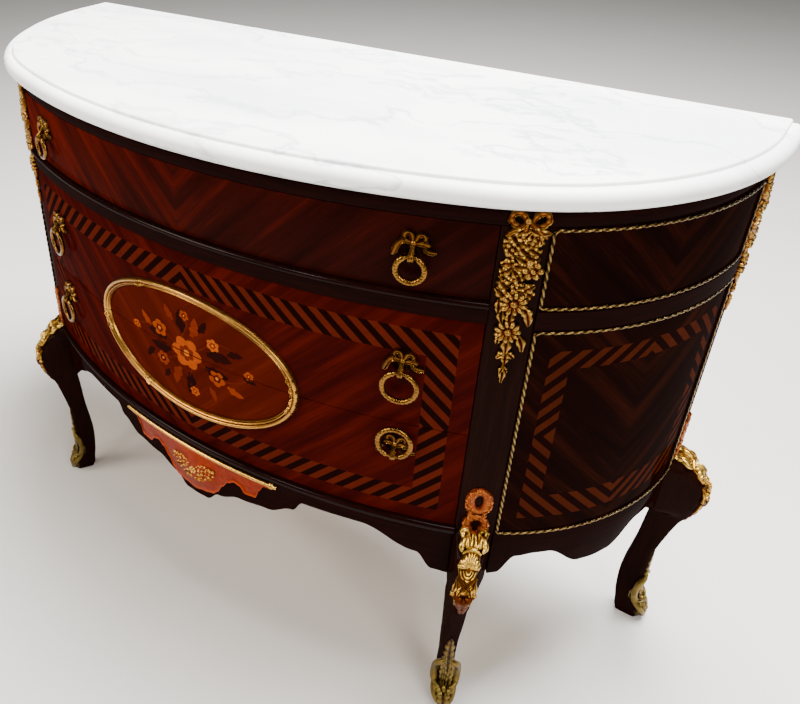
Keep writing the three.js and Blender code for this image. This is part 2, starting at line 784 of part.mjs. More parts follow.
// The ring hangs from x = 0 on its pin: a straight length in the knuckle, then a thicker wreath.
// A raised one has been turned up and leans back over its bow.
function ring(outerDiameter, raised) {
  const pitch = outerDiameter / 2 - ringTube;
  const pinHalf = knuckleWidth / 2 + ringTube - pinRadius;
  const start = Math.asin(pinHalf / pitch);
  const route = [[-pinHalf / 2, 0, pinRadius], [pinHalf / 2, 0, pinRadius]];
  for (let k = 0; k <= ringSections; k++) {
    const angle = between(start, 2 * Math.PI - start, k / ringSections);
    const swell = smooth((Math.min(angle, 2 * Math.PI - angle) - start) / start);
    const drop = pitch * (Math.cos(start) - Math.cos(angle));
    route.push([pitch * Math.sin(angle), -drop, between(pinRadius, ringTube, swell)]);
  }
  const rings = route.map(([x, y, radius], i) => {
    const before = route[(i + route.length - 1) % route.length];
    const after = route[(i + 1) % route.length];
    const ahead = new THREE.Vector2(after[0] - before[0], after[1] - before[1]).normalize();
    return circle(radius, tubeFacets).map(([side, out]) => (
      [x + ahead.y * side, (y - ahead.x * side) * (raised ? -1 : 1), hingeOut + out]
    ));
  });
  const hoopRing = loft(rings, true);
  if (raised) {
    hoopRing.translate(0, 0, -hingeOut);
    hoopRing.rotateX(-raisedLean);
    hoopRing.translate(0, 0, hingeOut);
  }
  return hoopRing;
}

// A pull is small enough to be set flat against the front
function atPull(geometry, s, z) {
  const [x, y] = plan(s, 0);
  const across = new THREE.Vector3(Math.cos(headingAt(s)), Math.sign(s) * Math.sin(headingAt(s)), 0);
  const out = new THREE.Vector3(across.y, -across.x, 0);
  const matrix = new THREE.Matrix4().makeBasis(across, new THREE.Vector3(0, 0, 1), out);
  matrix.setPosition(x, y, z);
  return geometry.clone().applyMatrix4(matrix);
}

const bow = bowPlate();
for (const drawer of drawers) {
  for (const [sideName, side] of [['left', -1], ['right', 1]]) {
    const z = pullFloor[drawer.name] + pullRise[drawer.name];
    const raised = drawer.name === 'lower' && side > 0;
    addPiece(`${drawer.name}_bow_${sideName}`, atPull(bow, side * pullPlace, z), 'gilt');
    const hoop = ring(ringOuter[drawer.name], raised);
    addPiece(`${drawer.name}_ring_${sideName}`, atPull(hoop, side * pullPlace, z), 'gilt');
  }
}

// Gilt oval frame, in two halves that part at the seam between the lower drawers
const ovalHalfWidth = 183;
const ovalHalfHeight = 101;
const ovalSections = 16;
const ovalBand = 13;
const ovalRelief = 7;
const reededShares = [
  [-0.5, 0], [-0.46, 0.6], [-0.22, 1], [0, 0.7], [0.22, 1], [0.46, 0.6], [0.5, 0],
];

// A bead follows a route of [s, z] points on the case. An open one ends level, at the seam.
function surfaceBead(route, section, closed) {
  return loft(route.map(([s, z], i) => {
    const before = route[(i + route.length - 1) % route.length];
    const after = route[(i + 1) % route.length];
    const a = new THREE.Vector2(s - before[0], z - before[1]).normalize();
    const b = new THREE.Vector2(after[0] - s, after[1] - z).normalize();
    const atEnd = !closed && (i === 0 || i === route.length - 1);
    const level = new THREE.Vector2(0, Math.sign(i === 0 ? b.y : a.y));
    const whole = atEnd ? level : a.clone().add(b).normalize();
    const mitre = atEnd ? 1 : 1 / Math.max(whole.dot(a), 1 / 2);
    return section.map(([across, out]) => {
      const [x, y] = plan(s + whole.y * across * mitre, out + seat);
      return [x, y, z - whole.x * across * mitre];
    });
  }), closed);
}

const ovalSection = reededShares.map(([across, out]) => [across * ovalBand, out * ovalRelief]);
for (const [drawer, up, from] of [['middle', 1, seamHeight + drawerGap / 2], ['lower', -1, seamHeight - drawerGap / 2]]) {
  const route = [];
  for (let k = 0; k <= ovalSections; k++) {
    const angle = Math.PI * k / ovalSections;
    route.push([-ovalHalfWidth * Math.cos(angle), from + up * ovalHalfHeight * Math.sin(angle)]);
  }
  addPiece(`${drawer}_oval_frame`, surfaceBead(route, ovalSection, false), 'gilt');
}

// Gilt rope borders on the end panels
const ropeWidth = 6;
const ropeRelief = 4.5;
const ropeSection = [
  [-ropeWidth / 2, 0], [-ropeWidth / 4, ropeRelief], [ropeWidth / 4, ropeRelief], [ropeWidth / 2, 0],
];

function ropeBorder(bottom, top) {
  const inset = ropeWidth / 2 + seat;
  const along = stations(endFrom + inset, endTo - inset);
  const route = [
    ...along.map((s) => [s, bottom + inset]),
    ...along.map((s) => [s, top - inset]).reverse(),
  ];
  return surfaceBead(route, ropeSection, true);
}
addPair('upper_rope', ropeBorder(endBandTop, topBoardBottom - seat), 'gilt');
addPair('lower_rope', ropeBorder(endPanelBottom, endBandBottom), 'gilt');

// Apron mount: a reeded bar above a shaped plate with a raised middle
const apronMountHalf = 149;
const apronMountInset = 18;
const apronMountTop = caseFloor - apronMountInset;
const apronMountDrop = 88;
const apronBarHeight = 8;
const apronBarRelief = 6;
const apronPlate = 2.6;
const apronSwell = 5;
const apronSwellShare = 0.42;
const apronMountSections = 24;
const apronMountShares = [
  [0, 1], [0.13, 0.95], [0.25, 0.9], [0.31, 0.8], [0.38, 0.6], [0.46, 0.43], [0.54, 0.35], [0.61, 0.38],
  [0.67, 0.5], [0.8, 0.48], [0.84, 0.28], [0.9, 0.13], [1, 0.12],
];
const apronRings = [];
for (let k = 0; k <= apronMountSections; k++) {
  const share = 2 * k / apronMountSections - 1;
  const s = apronMountHalf * share;
  const low = apronMountTop - apronMountDrop * easedTable(apronMountShares, Math.abs(share), 1);
  const barLow = apronMountTop - apronBarHeight;
  const lowEdge = Math.min(low, barLow - overrun / 2);
  const swell = apronSwell * smooth(1 - Math.abs(share) / apronSwellShare);
  apronRings.push([
    [seat, lowEdge], [seat + apronPlate, lowEdge],
    [seat + apronPlate + swell, between(lowEdge, barLow, 1 / 2)],
    [seat + apronPlate, barLow],
    [seat + apronBarRelief, barLow + apronBarHeight / 4],
    [seat + apronBarRelief, apronMountTop - apronBarHeight / 4],
    [seat, apronMountTop],
  ].map(([out, z]) => [...plan(s, out), z]));
}
addPiece('apron_mount', loft(apronRings), 'gilt');

// Floral drops on the stiles: a bow of two loops, then flowers and leaves down to a bud.
// Each row is [share of the way down, share across, radius share].
const dropInset = 2;
const dropTop = topBoardTop - dropInset;
const dropHeight = 229;
const dropWidth = 46;
const dropRelief = 5;
const dropPlace = { front: frontStileFrom + stileWidth / 2, rear: rearStile.legMiddle };
const bloomShares = [
  [0.15, 0.02, 0.24], [0.25, -0.25, 0.26], [0.32, 0.22, 0.26], [0.42, -0.18, 0.32],
  [0.5, 0.22, 0.22], [0.61, -0.02, 0.36], [0.75, 0.02, 0.22], [0.86, -0.02, 0.26], [0.96, 0, 0.16],
];
const dropLoopShare = 0.2;
const dropStemShare = 0.12;

function floralDrop() {
  const stemHalf = dropWidth * dropStemShare / 2;
  const stemEnds = [-dropHeight * bloomShares[bloomShares.length - 1][0], -dropWidth * dropLoopShare];
  const pieces = [block([-stemHalf, stemHalf], stemEnds, [seat, seat + dropRelief / 2])];
  for (const side of [-1, 1]) {
    const radius = dropWidth * dropLoopShare;
    pieces.push(hoop(radius, radius, side * radius, -radius * 3 / 2, dropRelief * 2 / 3));
  }
  for (const [down, across, radius] of bloomShares) {
    pieces.push(dome(dropWidth * radius, dropWidth * across, -dropHeight * down, dropRelief));
  }
  return join(pieces);
}
const drop = floralDrop();
for (const place of ['front', 'rear']) {
  addPair(`${place}_corner_drop`, onCase(drop, dropPlace[place], dropTop), 'gilt');
}

// The origin stands under the middle of the whole chest
body.position.y = (caseDepth + marbleOverhang) / 2;

export default chest;
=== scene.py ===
"""Looks of a bow fronted commode chest: veneers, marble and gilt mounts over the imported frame.

All lengths are in metres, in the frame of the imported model. A place on the case is given by s, the
length along its D-shaped plan from the middle of the front, by out, the distance outwards from the
plan, and by z, the height.
"""

import logging
import math
import random
from collections.abc import Callable, Sequence
from dataclasses import dataclass
from enum import Enum
from functools import cached_property, partial
from typing import ClassVar, TypeVar

import bpy
import numpy as np
from mathutils import Matrix, Vector


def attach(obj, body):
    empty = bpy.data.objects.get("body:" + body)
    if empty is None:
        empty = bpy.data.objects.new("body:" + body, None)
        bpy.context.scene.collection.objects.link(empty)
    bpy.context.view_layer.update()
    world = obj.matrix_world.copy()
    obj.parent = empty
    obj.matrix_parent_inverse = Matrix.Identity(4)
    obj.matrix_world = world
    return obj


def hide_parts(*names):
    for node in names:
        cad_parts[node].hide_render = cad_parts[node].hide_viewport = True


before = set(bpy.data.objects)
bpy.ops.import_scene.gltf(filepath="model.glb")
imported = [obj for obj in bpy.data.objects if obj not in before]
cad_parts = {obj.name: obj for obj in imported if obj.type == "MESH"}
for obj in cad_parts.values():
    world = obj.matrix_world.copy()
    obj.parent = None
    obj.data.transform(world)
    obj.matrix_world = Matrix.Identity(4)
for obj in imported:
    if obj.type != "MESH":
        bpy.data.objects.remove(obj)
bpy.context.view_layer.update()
logger = logging.getLogger("commode")

MM = 0.001
MERGE_DISTANCE = 0.002 * MM
BEVEL_ANGLE = math.radians(40)
BOARD_SMOOTH = math.radians(32)
RING_SMOOTH = math.radians(40)
OVAL_SMOOTH = math.radians(50)
MOUNT_SMOOTH = math.radians(55)
# Painted shade: a mount is darkened where it lies under this height, and darkest at its back
PAINTED_SHADE_DEPTH = 3.2 * MM
PAINTED_SHADE_TONE = 0.25
# Tone of flat parts; bulges are lightened and hollows darkened, as painted highlight and painted
# shade along with rubbed gilding on crests
FLAT_TONE = 0.5
CURVE_SHADE_AND_WEAR_GAIN = 1.5
FACE_OUT = partial(bpy.ops.mesh.normals_make_consistent, inside=False)

Pair = tuple[float, float]
Triple = tuple[float, float, float]
Quad = tuple[float, float, float, float]
Table = Sequence[Sequence[float]]
Stops = Sequence[tuple[float, str]]
Piece = bpy.types.Object
Node = bpy.types.Node
Placer = Callable[[int, int], Vector]
Host = Callable[[float, float, float], Vector]
Link = Node | bpy.types.NodeSocket
Inputs = Sequence[object] | dict[str | int, object]
Add = Callable[..., Node]
Knot = TypeVar("Knot", float, Vector)


def between(low: float, high: float, share: float) -> float:
    """Returns the value at a share of the way from low to high."""
    return low + (high - low) * share


def smooth(share: float) -> float:
    """Returns the share eased at both ends and held within 0 and 1."""
    held = min(max(share, 0.0), 1.0)
    return held * held * (3 - 2 * held)


def table_row(table: Table, share: float) -> tuple[int, float]:
    """Finds where a share falls in the first column of a table.

    Args:
        table: rows that start with a rising share.
        share: the share to look for.

    Returns:
        The row before it and how far it lies towards the next row.
    """
    row = 0
    while row < len(table) - 2 and share > table[row + 1][0]:
        row += 1
    step = table[row + 1][0] - table[row][0]
    return row, (share - table[row][0]) / step


def eased(table: Table, share: float) -> float:
    """Returns the second column of a table at a share, eased between its rows."""
    row, part = table_row(table, share)
    level = (1 - math.cos(math.pi * min(max(part, 0.0), 1.0))) / 2
    return between(table[row][1], table[row + 1][1], level)


def curved(before: Knot, here: Knot, after: Knot, beyond: Knot, part: float) -> Knot:
    """Returns a value on a smooth curve through four even knots.

    Args:
        before: the first knot.
        here: the second knot, where part is 0.
        after: the third knot, where part is 1.
        beyond: the fourth knot.
        part: the place between the middle two.

    Returns:
        The value there.
    """
    rise, fall = (after - before) / 2, (beyond - here) / 2
    cube = 2 * (here - after) + rise + fall
    square = 3 * (after - here) - 2 * rise - fall
    return ((cube * part + square) * part + rise) * part + here


def ahead_of(angle: float) -> Vector:
    """Returns the outward direction on the plan where the case has turned by an angle."""
    return Vector((math.sin(angle), -math.cos(angle)))


# Plan of the case and its legs


@dataclass(frozen=True)
class PlanLine:
    """D-shaped plan: a wide front arc, a tighter arc round each end, then straight to the back."""

    half_width: float = 602 * MM
    depth: float = 448.6 * MM
    overhang: float = 20 * MM
    front_radius: float = 1030 * MM
    end_radius: float = 352 * MM

    @cached_property
    def turn(self) -> float:
        """Angle at which the front arc meets the end arc."""
        return math.asin(
            (self.half_width - self.end_radius) / (self.front_radius - self.end_radius)
        )

    @cached_property
    def back(self) -> float:
        """Place of the back plane."""
        return (self.depth + self.overhang) / 2

    @cached_property
    def front_centre(self) -> Vector:
        """Centre of the front arc."""
        return Vector((0, self.back + self.front_radius - self.depth))

    @cached_property
    def end_centre(self) -> Vector:
        """Centre of the right end arc."""
        return self.front_centre + ahead_of(self.turn) * (self.front_radius - self.end_radius)

    @cached_property
    def front_arc(self) -> float:
        """Half the length of the front arc."""
        return self.front_radius * self.turn

    @cached_property
    def end_arc(self) -> float:
        """Length of an end arc."""
        return self.end_radius * (math.pi / 2 - self.turn)

    @cached_property
    def half_girth(self) -> float:
        """Length of the plan from the middle of the front to the back."""
        return self.front_arc + self.end_arc + self.back - self.end_centre.y

    def heading(self, s: float) -> float:
        """Returns the angle by which the case has turned at s."""
        size = abs(s)
        if size <= self.front_arc:
            angle = size / self.front_radius
        elif size <= self.front_arc + self.end_arc:
            angle = self.turn + (size - self.front_arc) / self.end_radius
        else:
            angle = math.pi / 2
        return math.copysign(angle, s)

    def point(self, s: float, out: float, z: float) -> Vector:
        """Returns the point at a place on the case."""
        side = math.copysign(1.0, s)
        ahead = ahead_of(abs(self.heading(s)))
        if abs(s) <= self.front_arc:
            flat = self.front_centre + ahead * (self.front_radius + out)
        else:
            flat = self.end_centre + ahead * (self.end_radius + out)
            flat.y += max(abs(s) - self.front_arc - self.end_arc, 0.0)
        return Vector((side * flat.x, flat.y, z))

    def place_of(self, point: Vector) -> Vector:
        """Returns the place (s, out, z) of a point, the other way round from point."""
        flat = Vector((abs(point.x), point.y))
        arm = flat - self.front_centre
        angle = math.atan2(arm.x, -arm.y)
        if angle <= self.turn:
            s, out = angle * self.front_radius, arm.length - self.front_radius
        elif flat.y < self.end_centre.y:
            arm = flat - self.end_centre
            angle = math.atan2(arm.x, -arm.y)
            s = self.front_arc + (angle - self.turn) * self.end_radius
            out = arm.length - self.end_radius
        else:
            s = self.front_arc + self.end_arc + flat.y - self.end_centre.y
            out = flat.x - self.half_width
        return Vector((math.copysign(s, point.x), out, point.z))


PLAN = PlanLine()


@dataclass(frozen=True)
class CaseHeights:
    """Heights of the lines across the case and the places of its stiles, as the frame has them."""

    case_floor: float = 371 * MM
    leg: float = 372 * MM
    seam: float = 532.3 * MM
    rail_bottom: float = 702.5 * MM
    rail_top: float = 731 * MM
    board_bottom: float = 827.2 * MM
    board_top: float = 850 * MM
    marble_bottom: float = 850.4 * MM
    top: float = 880 * MM
    seat: float = 0.4 * MM
    drawer_gap: float = 1 * MM
    stile_start: float = PLAN.front_arc + 25 * MM
    stile_width: float = 52 * MM
    stile_depth: float = 45 * MM
    rear_stile_width: float = 68.6 * MM
    rear_leg_width: float = 56 * MM

    @property
    def stile_end(self) -> float:
        """Place where the front stile ends."""
        return self.stile_start + self.stile_width

    @property
    def rear_start(self) -> float:
        """Place where the rear stile starts."""
        return PLAN.half_girth - self.rear_stile_width


CASE = CaseHeights()


class Side(Enum):
    """The two ends of the chest."""

    LEFT = -1
    RIGHT = 1

    @property
    def word(self) -> str:
        """The side's word in the names of the frame."""
        return self.name.lower()


@dataclass(frozen=True)
class LegForm:
    """Surface of a cabriole leg and its stile, on the right side of the chest.

    Each row of SHAPE is height, out, in, front width, back width and lean, from the floor up: the
    height as a share of the leg's height, out and in of the knee's reach, the rest of its width.
    """

    start: float
    end: float
    middle: float
    width: float
    lean: float
    knee: float = 57.5 * MM
    corner_steps: int = 3
    stile_corner: float = 1.2 * MM
    leg_corner: float = 5 * MM
    block_foot: float = 0.74
    block_fade: float = 0.07
    face_fade: float = 0.04
    block_edge: float = 0.06
    chamfer: float = 0.16
    corner_fade: float = 0.12
    corner_most: float = 0.45
    front_points: tuple[float, ...] = (0.25, 0.5, 0.75)
    probe: float = 0.6 * MM

    SHAPE = (
        (0, 0.38, -0.2, 0.4, 0.42, -0.12),
        (0.032, 0.5, -0.27, 0.43, 0.45, -0.16),
        (0.08, 0.46, -0.3, 0.47, 0.5, -0.18),
        (0.13, 0.27, -0.36, 0.43, 0.45, -0.16),
        (0.215, 0.25, -0.4, 0.41, 0.42, -0.15),
        (0.3, 0.26, -0.39, 0.41, 0.43, -0.165),
        (0.4, 0.27, -0.31, 0.45, 0.49, -0.165),
        (0.48, 0.36, -0.25, 0.475, 0.56, -0.155),
        (0.57, 0.49, -0.21, 0.46, 0.63, -0.15),
        (0.635, 0.605, -0.18, 0.44, 0.67, -0.155),
        (0.69, 0.75, -0.14, 0.44, 0.68, -0.15),
        (0.75, 0.885, -0.17, 0.465, 0.76, -0.2),
        (0.82, 0.965, -0.48, 0.54, 0.985, -0.22),
        (0.87, 0.89, -0.745, 0.6, 1, -0.19),
        (0.93, 0.635, -0.78, 0.7, 1, -0.13),
        (0.96, 0.34, -0.78, 0.84, 1, -0.03),
        (0.982, 0.1, -0.78, 0.92, 1, 0),
        (1, 0, -0.78, 1, 1, 0),
    )

    @cached_property
    def kept(self) -> dict[int, list[Vector]]:
        """Sections that were worked out before, by their height in millimetres."""
        return {}

    def column(self, number: int, share: float) -> float:
        """Returns one column of the shape at a height, on a smooth curve through its rows."""
        row, part = table_row(self.SHAPE, min(max(share, 0.0), 1.0))
        last = len(self.SHAPE) - 1
        rows = [min(max(row + step, 0), last) for step in (-1, 0, 1, 2)]
        return curved(*(self.SHAPE[index][number] for index in rows), part)

    def corners(self, share: float) -> list[Vector]:
        """Returns the eight corners of the section at a height, from the back round the front."""
        base = PLAN.point(self.middle, 0, 0)
        ahead = ahead_of(PLAN.heading((self.start + self.end) / 2))
        across = Vector((-ahead.y, ahead.x))
        out = self.knee * self.column(1, share)
        back = self.knee * self.column(2, share)
        front = self.width * self.column(3, share) / 2
        rear = self.width * self.column(4, share) / 2
        lean = self.width * self.column(5, share) * self.lean
        cut = self.chamfer * front * 2
        half = [
            (rear, back), ((front + rear) / 2, (back + out) / 2), (front, out - cut),
            (front - cut, out),
        ]
        places = [(lean - a, d) for a, d in half] + [(lean + a, d) for a, d in reversed(half)]
        leg = [base.xy + across * a + ahead * d for a, d in places]
        edge = -self.block_edge * (self.end - self.start)
        stile = [
            PLAN.point(between(self.start, self.end, along), out_by, 0).xy
            for along, out_by in (
                (0, -CASE.stile_depth), (0, edge), (0, 0), (self.chamfer, 0),
                (1 - self.chamfer, 0), (1, 0), (1, edge), (1, -CASE.stile_depth),
            )
        ]
        back_fade = smooth((self.block_foot - share) / self.block_fade)
        face_fade = smooth((1 - share) / self.face_fade)
        fades = [back_fade] * 2 + [face_fade] * 4 + [back_fade] * 2
        return [on_stile.lerp(on_leg, fade) for on_stile, on_leg, fade in zip(stile, leg, fades)]

    def outline(self, share: float) -> list[Vector]:
        """Returns the section at a height, between the levels kept below and above it."""
        place = share * CASE.leg / MM
        low = math.floor(place)
        under, over = self.level(low), self.level(low + 1)
        return [a.lerp(b, place - low) for a, b in zip(under, over)]

    def level(self, millimetre: int) -> list[Vector]:
        """Returns the section at a whole millimetre of height, with its corners eased."""
        if millimetre in self.kept:
            return self.kept[millimetre]
        share = millimetre * MM / CASE.leg
        corners = self.corners(share)
        soft = between(self.stile_corner, self.leg_corner, smooth((1 - share) / self.corner_fade))

        def eased_from(corner: Vector, other: Vector) -> Vector:
            """Returns where the easing of a corner ends on the way to another."""
            return corner.lerp(other, min(soft / (corner - other).length, self.corner_most))

        points: list[Vector] = []
        for i, corner in enumerate(corners):
            after = corners[(i + 1) % len(corners)]
            first, last = eased_from(corner, corners[i - 1]), eased_from(corner, after)
            for k in range(self.corner_steps + 1):
                t = k / self.corner_steps
                points.append(first.lerp(corner, t).lerp(corner.lerp(last, t), t))
            if i == len(corners) // 2 - 1:
                points.extend(
                    last.lerp(eased_from(after, corner), part) for part in self.front_points
                )
        self.kept[millimetre] = points
        return points

    def walked(self, share: float, distance: float) -> Vector:
        """Returns the point at a distance round the section from the middle of its front."""
        points = self.outline(share)
        # Half the corners come before the front, and half the front's points before its middle
        index = (len(points) - len(self.front_points)) // 2 + len(self.front_points) // 2
        step = 1 if distance >= 0 else -1
        left = abs(distance)
        here = points[index]
        while True:
            index = (index + step) % len(points)
            length = (points[index] - here).length
            if left <= length and length > 0:
                return here.lerp(points[index], left / length)
            left -= length
            here = points[index]

    def surface(self, distance: float, height: float, lift: float) -> Vector:
        """Returns a point on or above the leg.

        Args:
            distance: length round the leg from the middle of its front.
            height: height above the floor.
            lift: distance off the surface.

        Returns:
            The point, on the right side of the chest.
        """
        low, high = height - self.probe, height + self.probe
        here = self.walked(height / CASE.leg, distance)
        past = self.walked(height / CASE.leg, distance + self.probe)
        before = self.walked(height / CASE.leg, distance - self.probe)
        under = self.walked(low / CASE.leg, distance)
        over = self.walked(high / CASE.leg, distance)
        around = Vector((*(past - before), 0))
        upward = Vector((*(over - under), high - low))
        normal = around.cross(upward).normalized()
        return Vector((*here, height)) + normal * lift


FRONT_LEG = LegForm(
    CASE.stile_start, CASE.stile_end, (CASE.stile_start + CASE.stile_end) / 2, CASE.stile_width, 1
)
REAR_LEG = LegForm(
    CASE.rear_start, PLAN.half_girth, PLAN.half_girth - CASE.rear_leg_width / 2,
    CASE.rear_leg_width, 0,
)


# Making and finishing meshes


def deselect_all() -> None:
    """Leaves nothing selected and no object in edit mode."""
    if bpy.context.object and bpy.context.object.mode != "OBJECT":
        bpy.ops.object.mode_set(mode="OBJECT")
    bpy.ops.object.select_all(action="DESELECT")


def pick(*pieces: Piece) -> None:
    """Selects these objects only and makes the first one active."""
    deselect_all()
    for piece in pieces:
        piece.select_set(True)
    bpy.context.view_layer.objects.active = pieces[0]


def named(piece: Piece, name: str) -> Piece:
    """Gives a piece and its mesh one name."""
    piece.name = name
    piece.data.name = name
    return piece


def edited(piece: Piece, *steps: Callable[[], object]) -> Piece:
    """Runs steps in edit mode, each on the whole mesh of a piece."""
    pick(piece)
    bpy.ops.object.mode_set(mode="EDIT")
    for step in steps:
        bpy.ops.mesh.select_all(action="SELECT")
        step()
    bpy.ops.object.mode_set(mode="OBJECT")
    return piece


def wrapped_grid(name: str, columns: int, rows: int, place: Placer) -> Piece:
    """Adds a grid, wraps it round a form and closes it.

    Args:
        name: the piece's name.
        columns: faces along the grid.
        rows: faces across the grid.
        place: gives the place of the vertex at a column and a row.

    Returns:
        The new piece.
    """
    deselect_all()
    bpy.ops.mesh.primitive_grid_add(
        x_subdivisions=columns, y_subdivisions=rows, size=1, location=(0, 0, 0)
    )
    piece = named(bpy.context.active_object, name)
    for vertex in piece.data.vertices:
        column = round((vertex.co.x + 0.5) * columns)
        row = round((vertex.co.y + 0.5) * rows)
        vertex.co = place(column, row)
    # Meeting edges are merged and open ends capped
    return edited(
        piece,
        partial(bpy.ops.mesh.remove_doubles, threshold=MERGE_DISTANCE),
        partial(bpy.ops.mesh.fill_holes, sides=0),
        FACE_OUT,
    )


def smoothed(piece: Piece, angle: float = BOARD_SMOOTH) -> Piece:
    """Shades a piece smooth, with its sharp edges kept."""
    pick(piece)
    bpy.ops.object.shade_smooth_by_angle(angle=angle)
    return piece


def bevelled(piece: Piece, width: float) -> Piece:
    """Eases the sharp edges of a piece."""
    pick(piece)
    bevel = piece.modifiers.new("Eased edges", "BEVEL")
    bevel.width = width
    bevel.segments = 2
    bevel.limit_method = "ANGLE"
    bevel.angle_limit = BEVEL_ANGLE
    bpy.ops.object.modifier_apply(modifier=bevel.name)
    return piece


def joined(name: str, parts: Sequence[Piece]) -> Piece:
    """Joins parts into one piece under a new name."""
    pick(*parts)
    if len(parts) > 1:
        bpy.ops.object.join()
    return named(bpy.context.active_object, name)


def copied(piece: Piece, name: str) -> Piece:
    """Returns a copy of a piece with a mesh of its own."""
    copy = piece.copy()
    copy.data = piece.data.copy()
    bpy.context.scene.collection.objects.link(copy)
    return named(copy, name)


def removed(piece: Piece) -> None:
    """Deletes a pattern piece that its copies have replaced."""
    bpy.data.objects.remove(piece, do_unlink=True)


def moved(piece: Piece, matrix: Matrix) -> Piece:
    """Moves a piece within its own mesh."""
    piece.data.transform(matrix)
    return piece


def bent_onto(piece: Piece, host: Host) -> Piece:
    """Bends a flat relief on to a surface and turns its faces outwards."""
    for vertex in piece.data.vertices:
        vertex.co = host(*vertex.co)
    return edited(piece, FACE_OUT)


def tagged(piece: Piece, name: str, values: Sequence[float]) -> Piece:
    """Stores one number for each vertex, for the materials to read."""
    layer = piece.data.attributes.new(name, "FLOAT", "POINT")
    layer.data.foreach_set("value", values)
    return piece


def plan_tagged(piece: Piece) -> Piece:
    """Stores each vertex's place on the case, for the veneers to follow."""
    layer = piece.data.attributes.new("plan", "FLOAT_VECTOR", "POINT")
    for value, vertex in zip(layer.data, piece.data.vertices):
        value.vector = PLAN.place_of(vertex.co)
    return piece


def finished(piece: Piece, finish: "Finish", body: str, *replaces: str) -> Piece:
    """Gives a piece its material and its place in the frame.

    Args:
        piece: the finished mesh.
        finish: what it is coated with.
        body: the body that it moves with.
        replaces: the nodes that it stands for.

    Returns:
        The piece.
    """
    piece.data.materials.clear()
    piece.data.materials.append(finish.material)
    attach(piece, body)
    if replaces:
        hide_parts(*replaces)
    logger.info("%s rides on %s", piece.name, body)
    return piece


def finished_pair(piece: Piece, finish: "Finish", *nodes: str) -> None:
    """Finishes a mount of the carcass's right side, and its mirror image for the left.

    Args:
        piece: the right one, whose name ends with its side.
        finish: what both are coated with.
        nodes: the nodes that they stand for, without their side.
    """
    name = piece.name.removesuffix(Side.RIGHT.word)
    other = moved(copied(piece, name + Side.LEFT.word), Matrix.Scale(-1, 4, (1, 0, 0)))
    other.data.flip_normals()
    for mount, side in ((other, Side.LEFT), (piece, Side.RIGHT)):
        finished(mount, finish, "carcass", *(f"{node}_{side.word}" for node in nodes))


# Materials


def colour(code: str) -> Quad:
    """Returns the linear colour of a hexadecimal sRGB code."""
    parts = [int(code[i:i + 2], 16) / 255 for i in (1, 3, 5)]
    linear = [
        part / 12.92 if part <= 0.04045 else ((part + 0.055) / 1.055) ** 2.4 for part in parts
    ]
    return (*linear, 1.0)


def repeats(*sizes: float) -> tuple[float, ...]:
    """Returns how often patterns of these sizes repeat in a metre."""
    return tuple(1 / size for size in sizes)


def add_node(
    tree: bpy.types.NodeTree, kind: str, inputs: Inputs = (), stops: Stops = (), **settings: object
) -> Node:
    """Adds a node with its settings and links.

    Args:
        tree: the tree that it joins.
        kind: the node's type, without its ShaderNode prefix.
        inputs: in order or by name, each a node or socket to link, a colour code or a value.
        stops: the (place, colour code) stops of a colour ramp.
        settings: the node's own properties.

    Returns:
        The new node.
    """
    node = tree.nodes.new("ShaderNode" + kind)
    for name, value in settings.items():
        setattr(node, name, value)
    for name, value in (inputs if isinstance(inputs, dict) else dict(enumerate(inputs))).items():
        if isinstance(value, bpy.types.Node):
            value = value.outputs[0]
        if isinstance(value, bpy.types.NodeSocket):
            tree.links.new(value, node.inputs[name])
        else:
            node.inputs[name].default_value = colour(value) if isinstance(value, str) else value
    for i, (place, code) in enumerate(stops):
        elements = node.color_ramp.elements
        element = elements[i] if i < 2 else elements.new(place)
        element.position = place
        element.color = colour(code)
    return node


@dataclass(frozen=True)
class Finish:
    """A surface, named for its material and for how it was made."""

    name: str
    slot: ClassVar[str]

    @cached_property
    def material(self) -> bpy.types.Material:
        """The finish as a material, made once."""
        material = bpy.data.materials.new(self.name)
        material.use_nodes = True
        tree = material.node_tree
        tree.nodes.clear()
        shader = add_node(tree, "BsdfPrincipled", self.look(partial(add_node, tree)))
        add_node(tree, "OutputMaterial", {"Surface": shader})
        return material

    def look(self, add: Add) -> dict[str, object]:
        """Returns what goes into the shader's sockets."""
        raise NotImplementedError


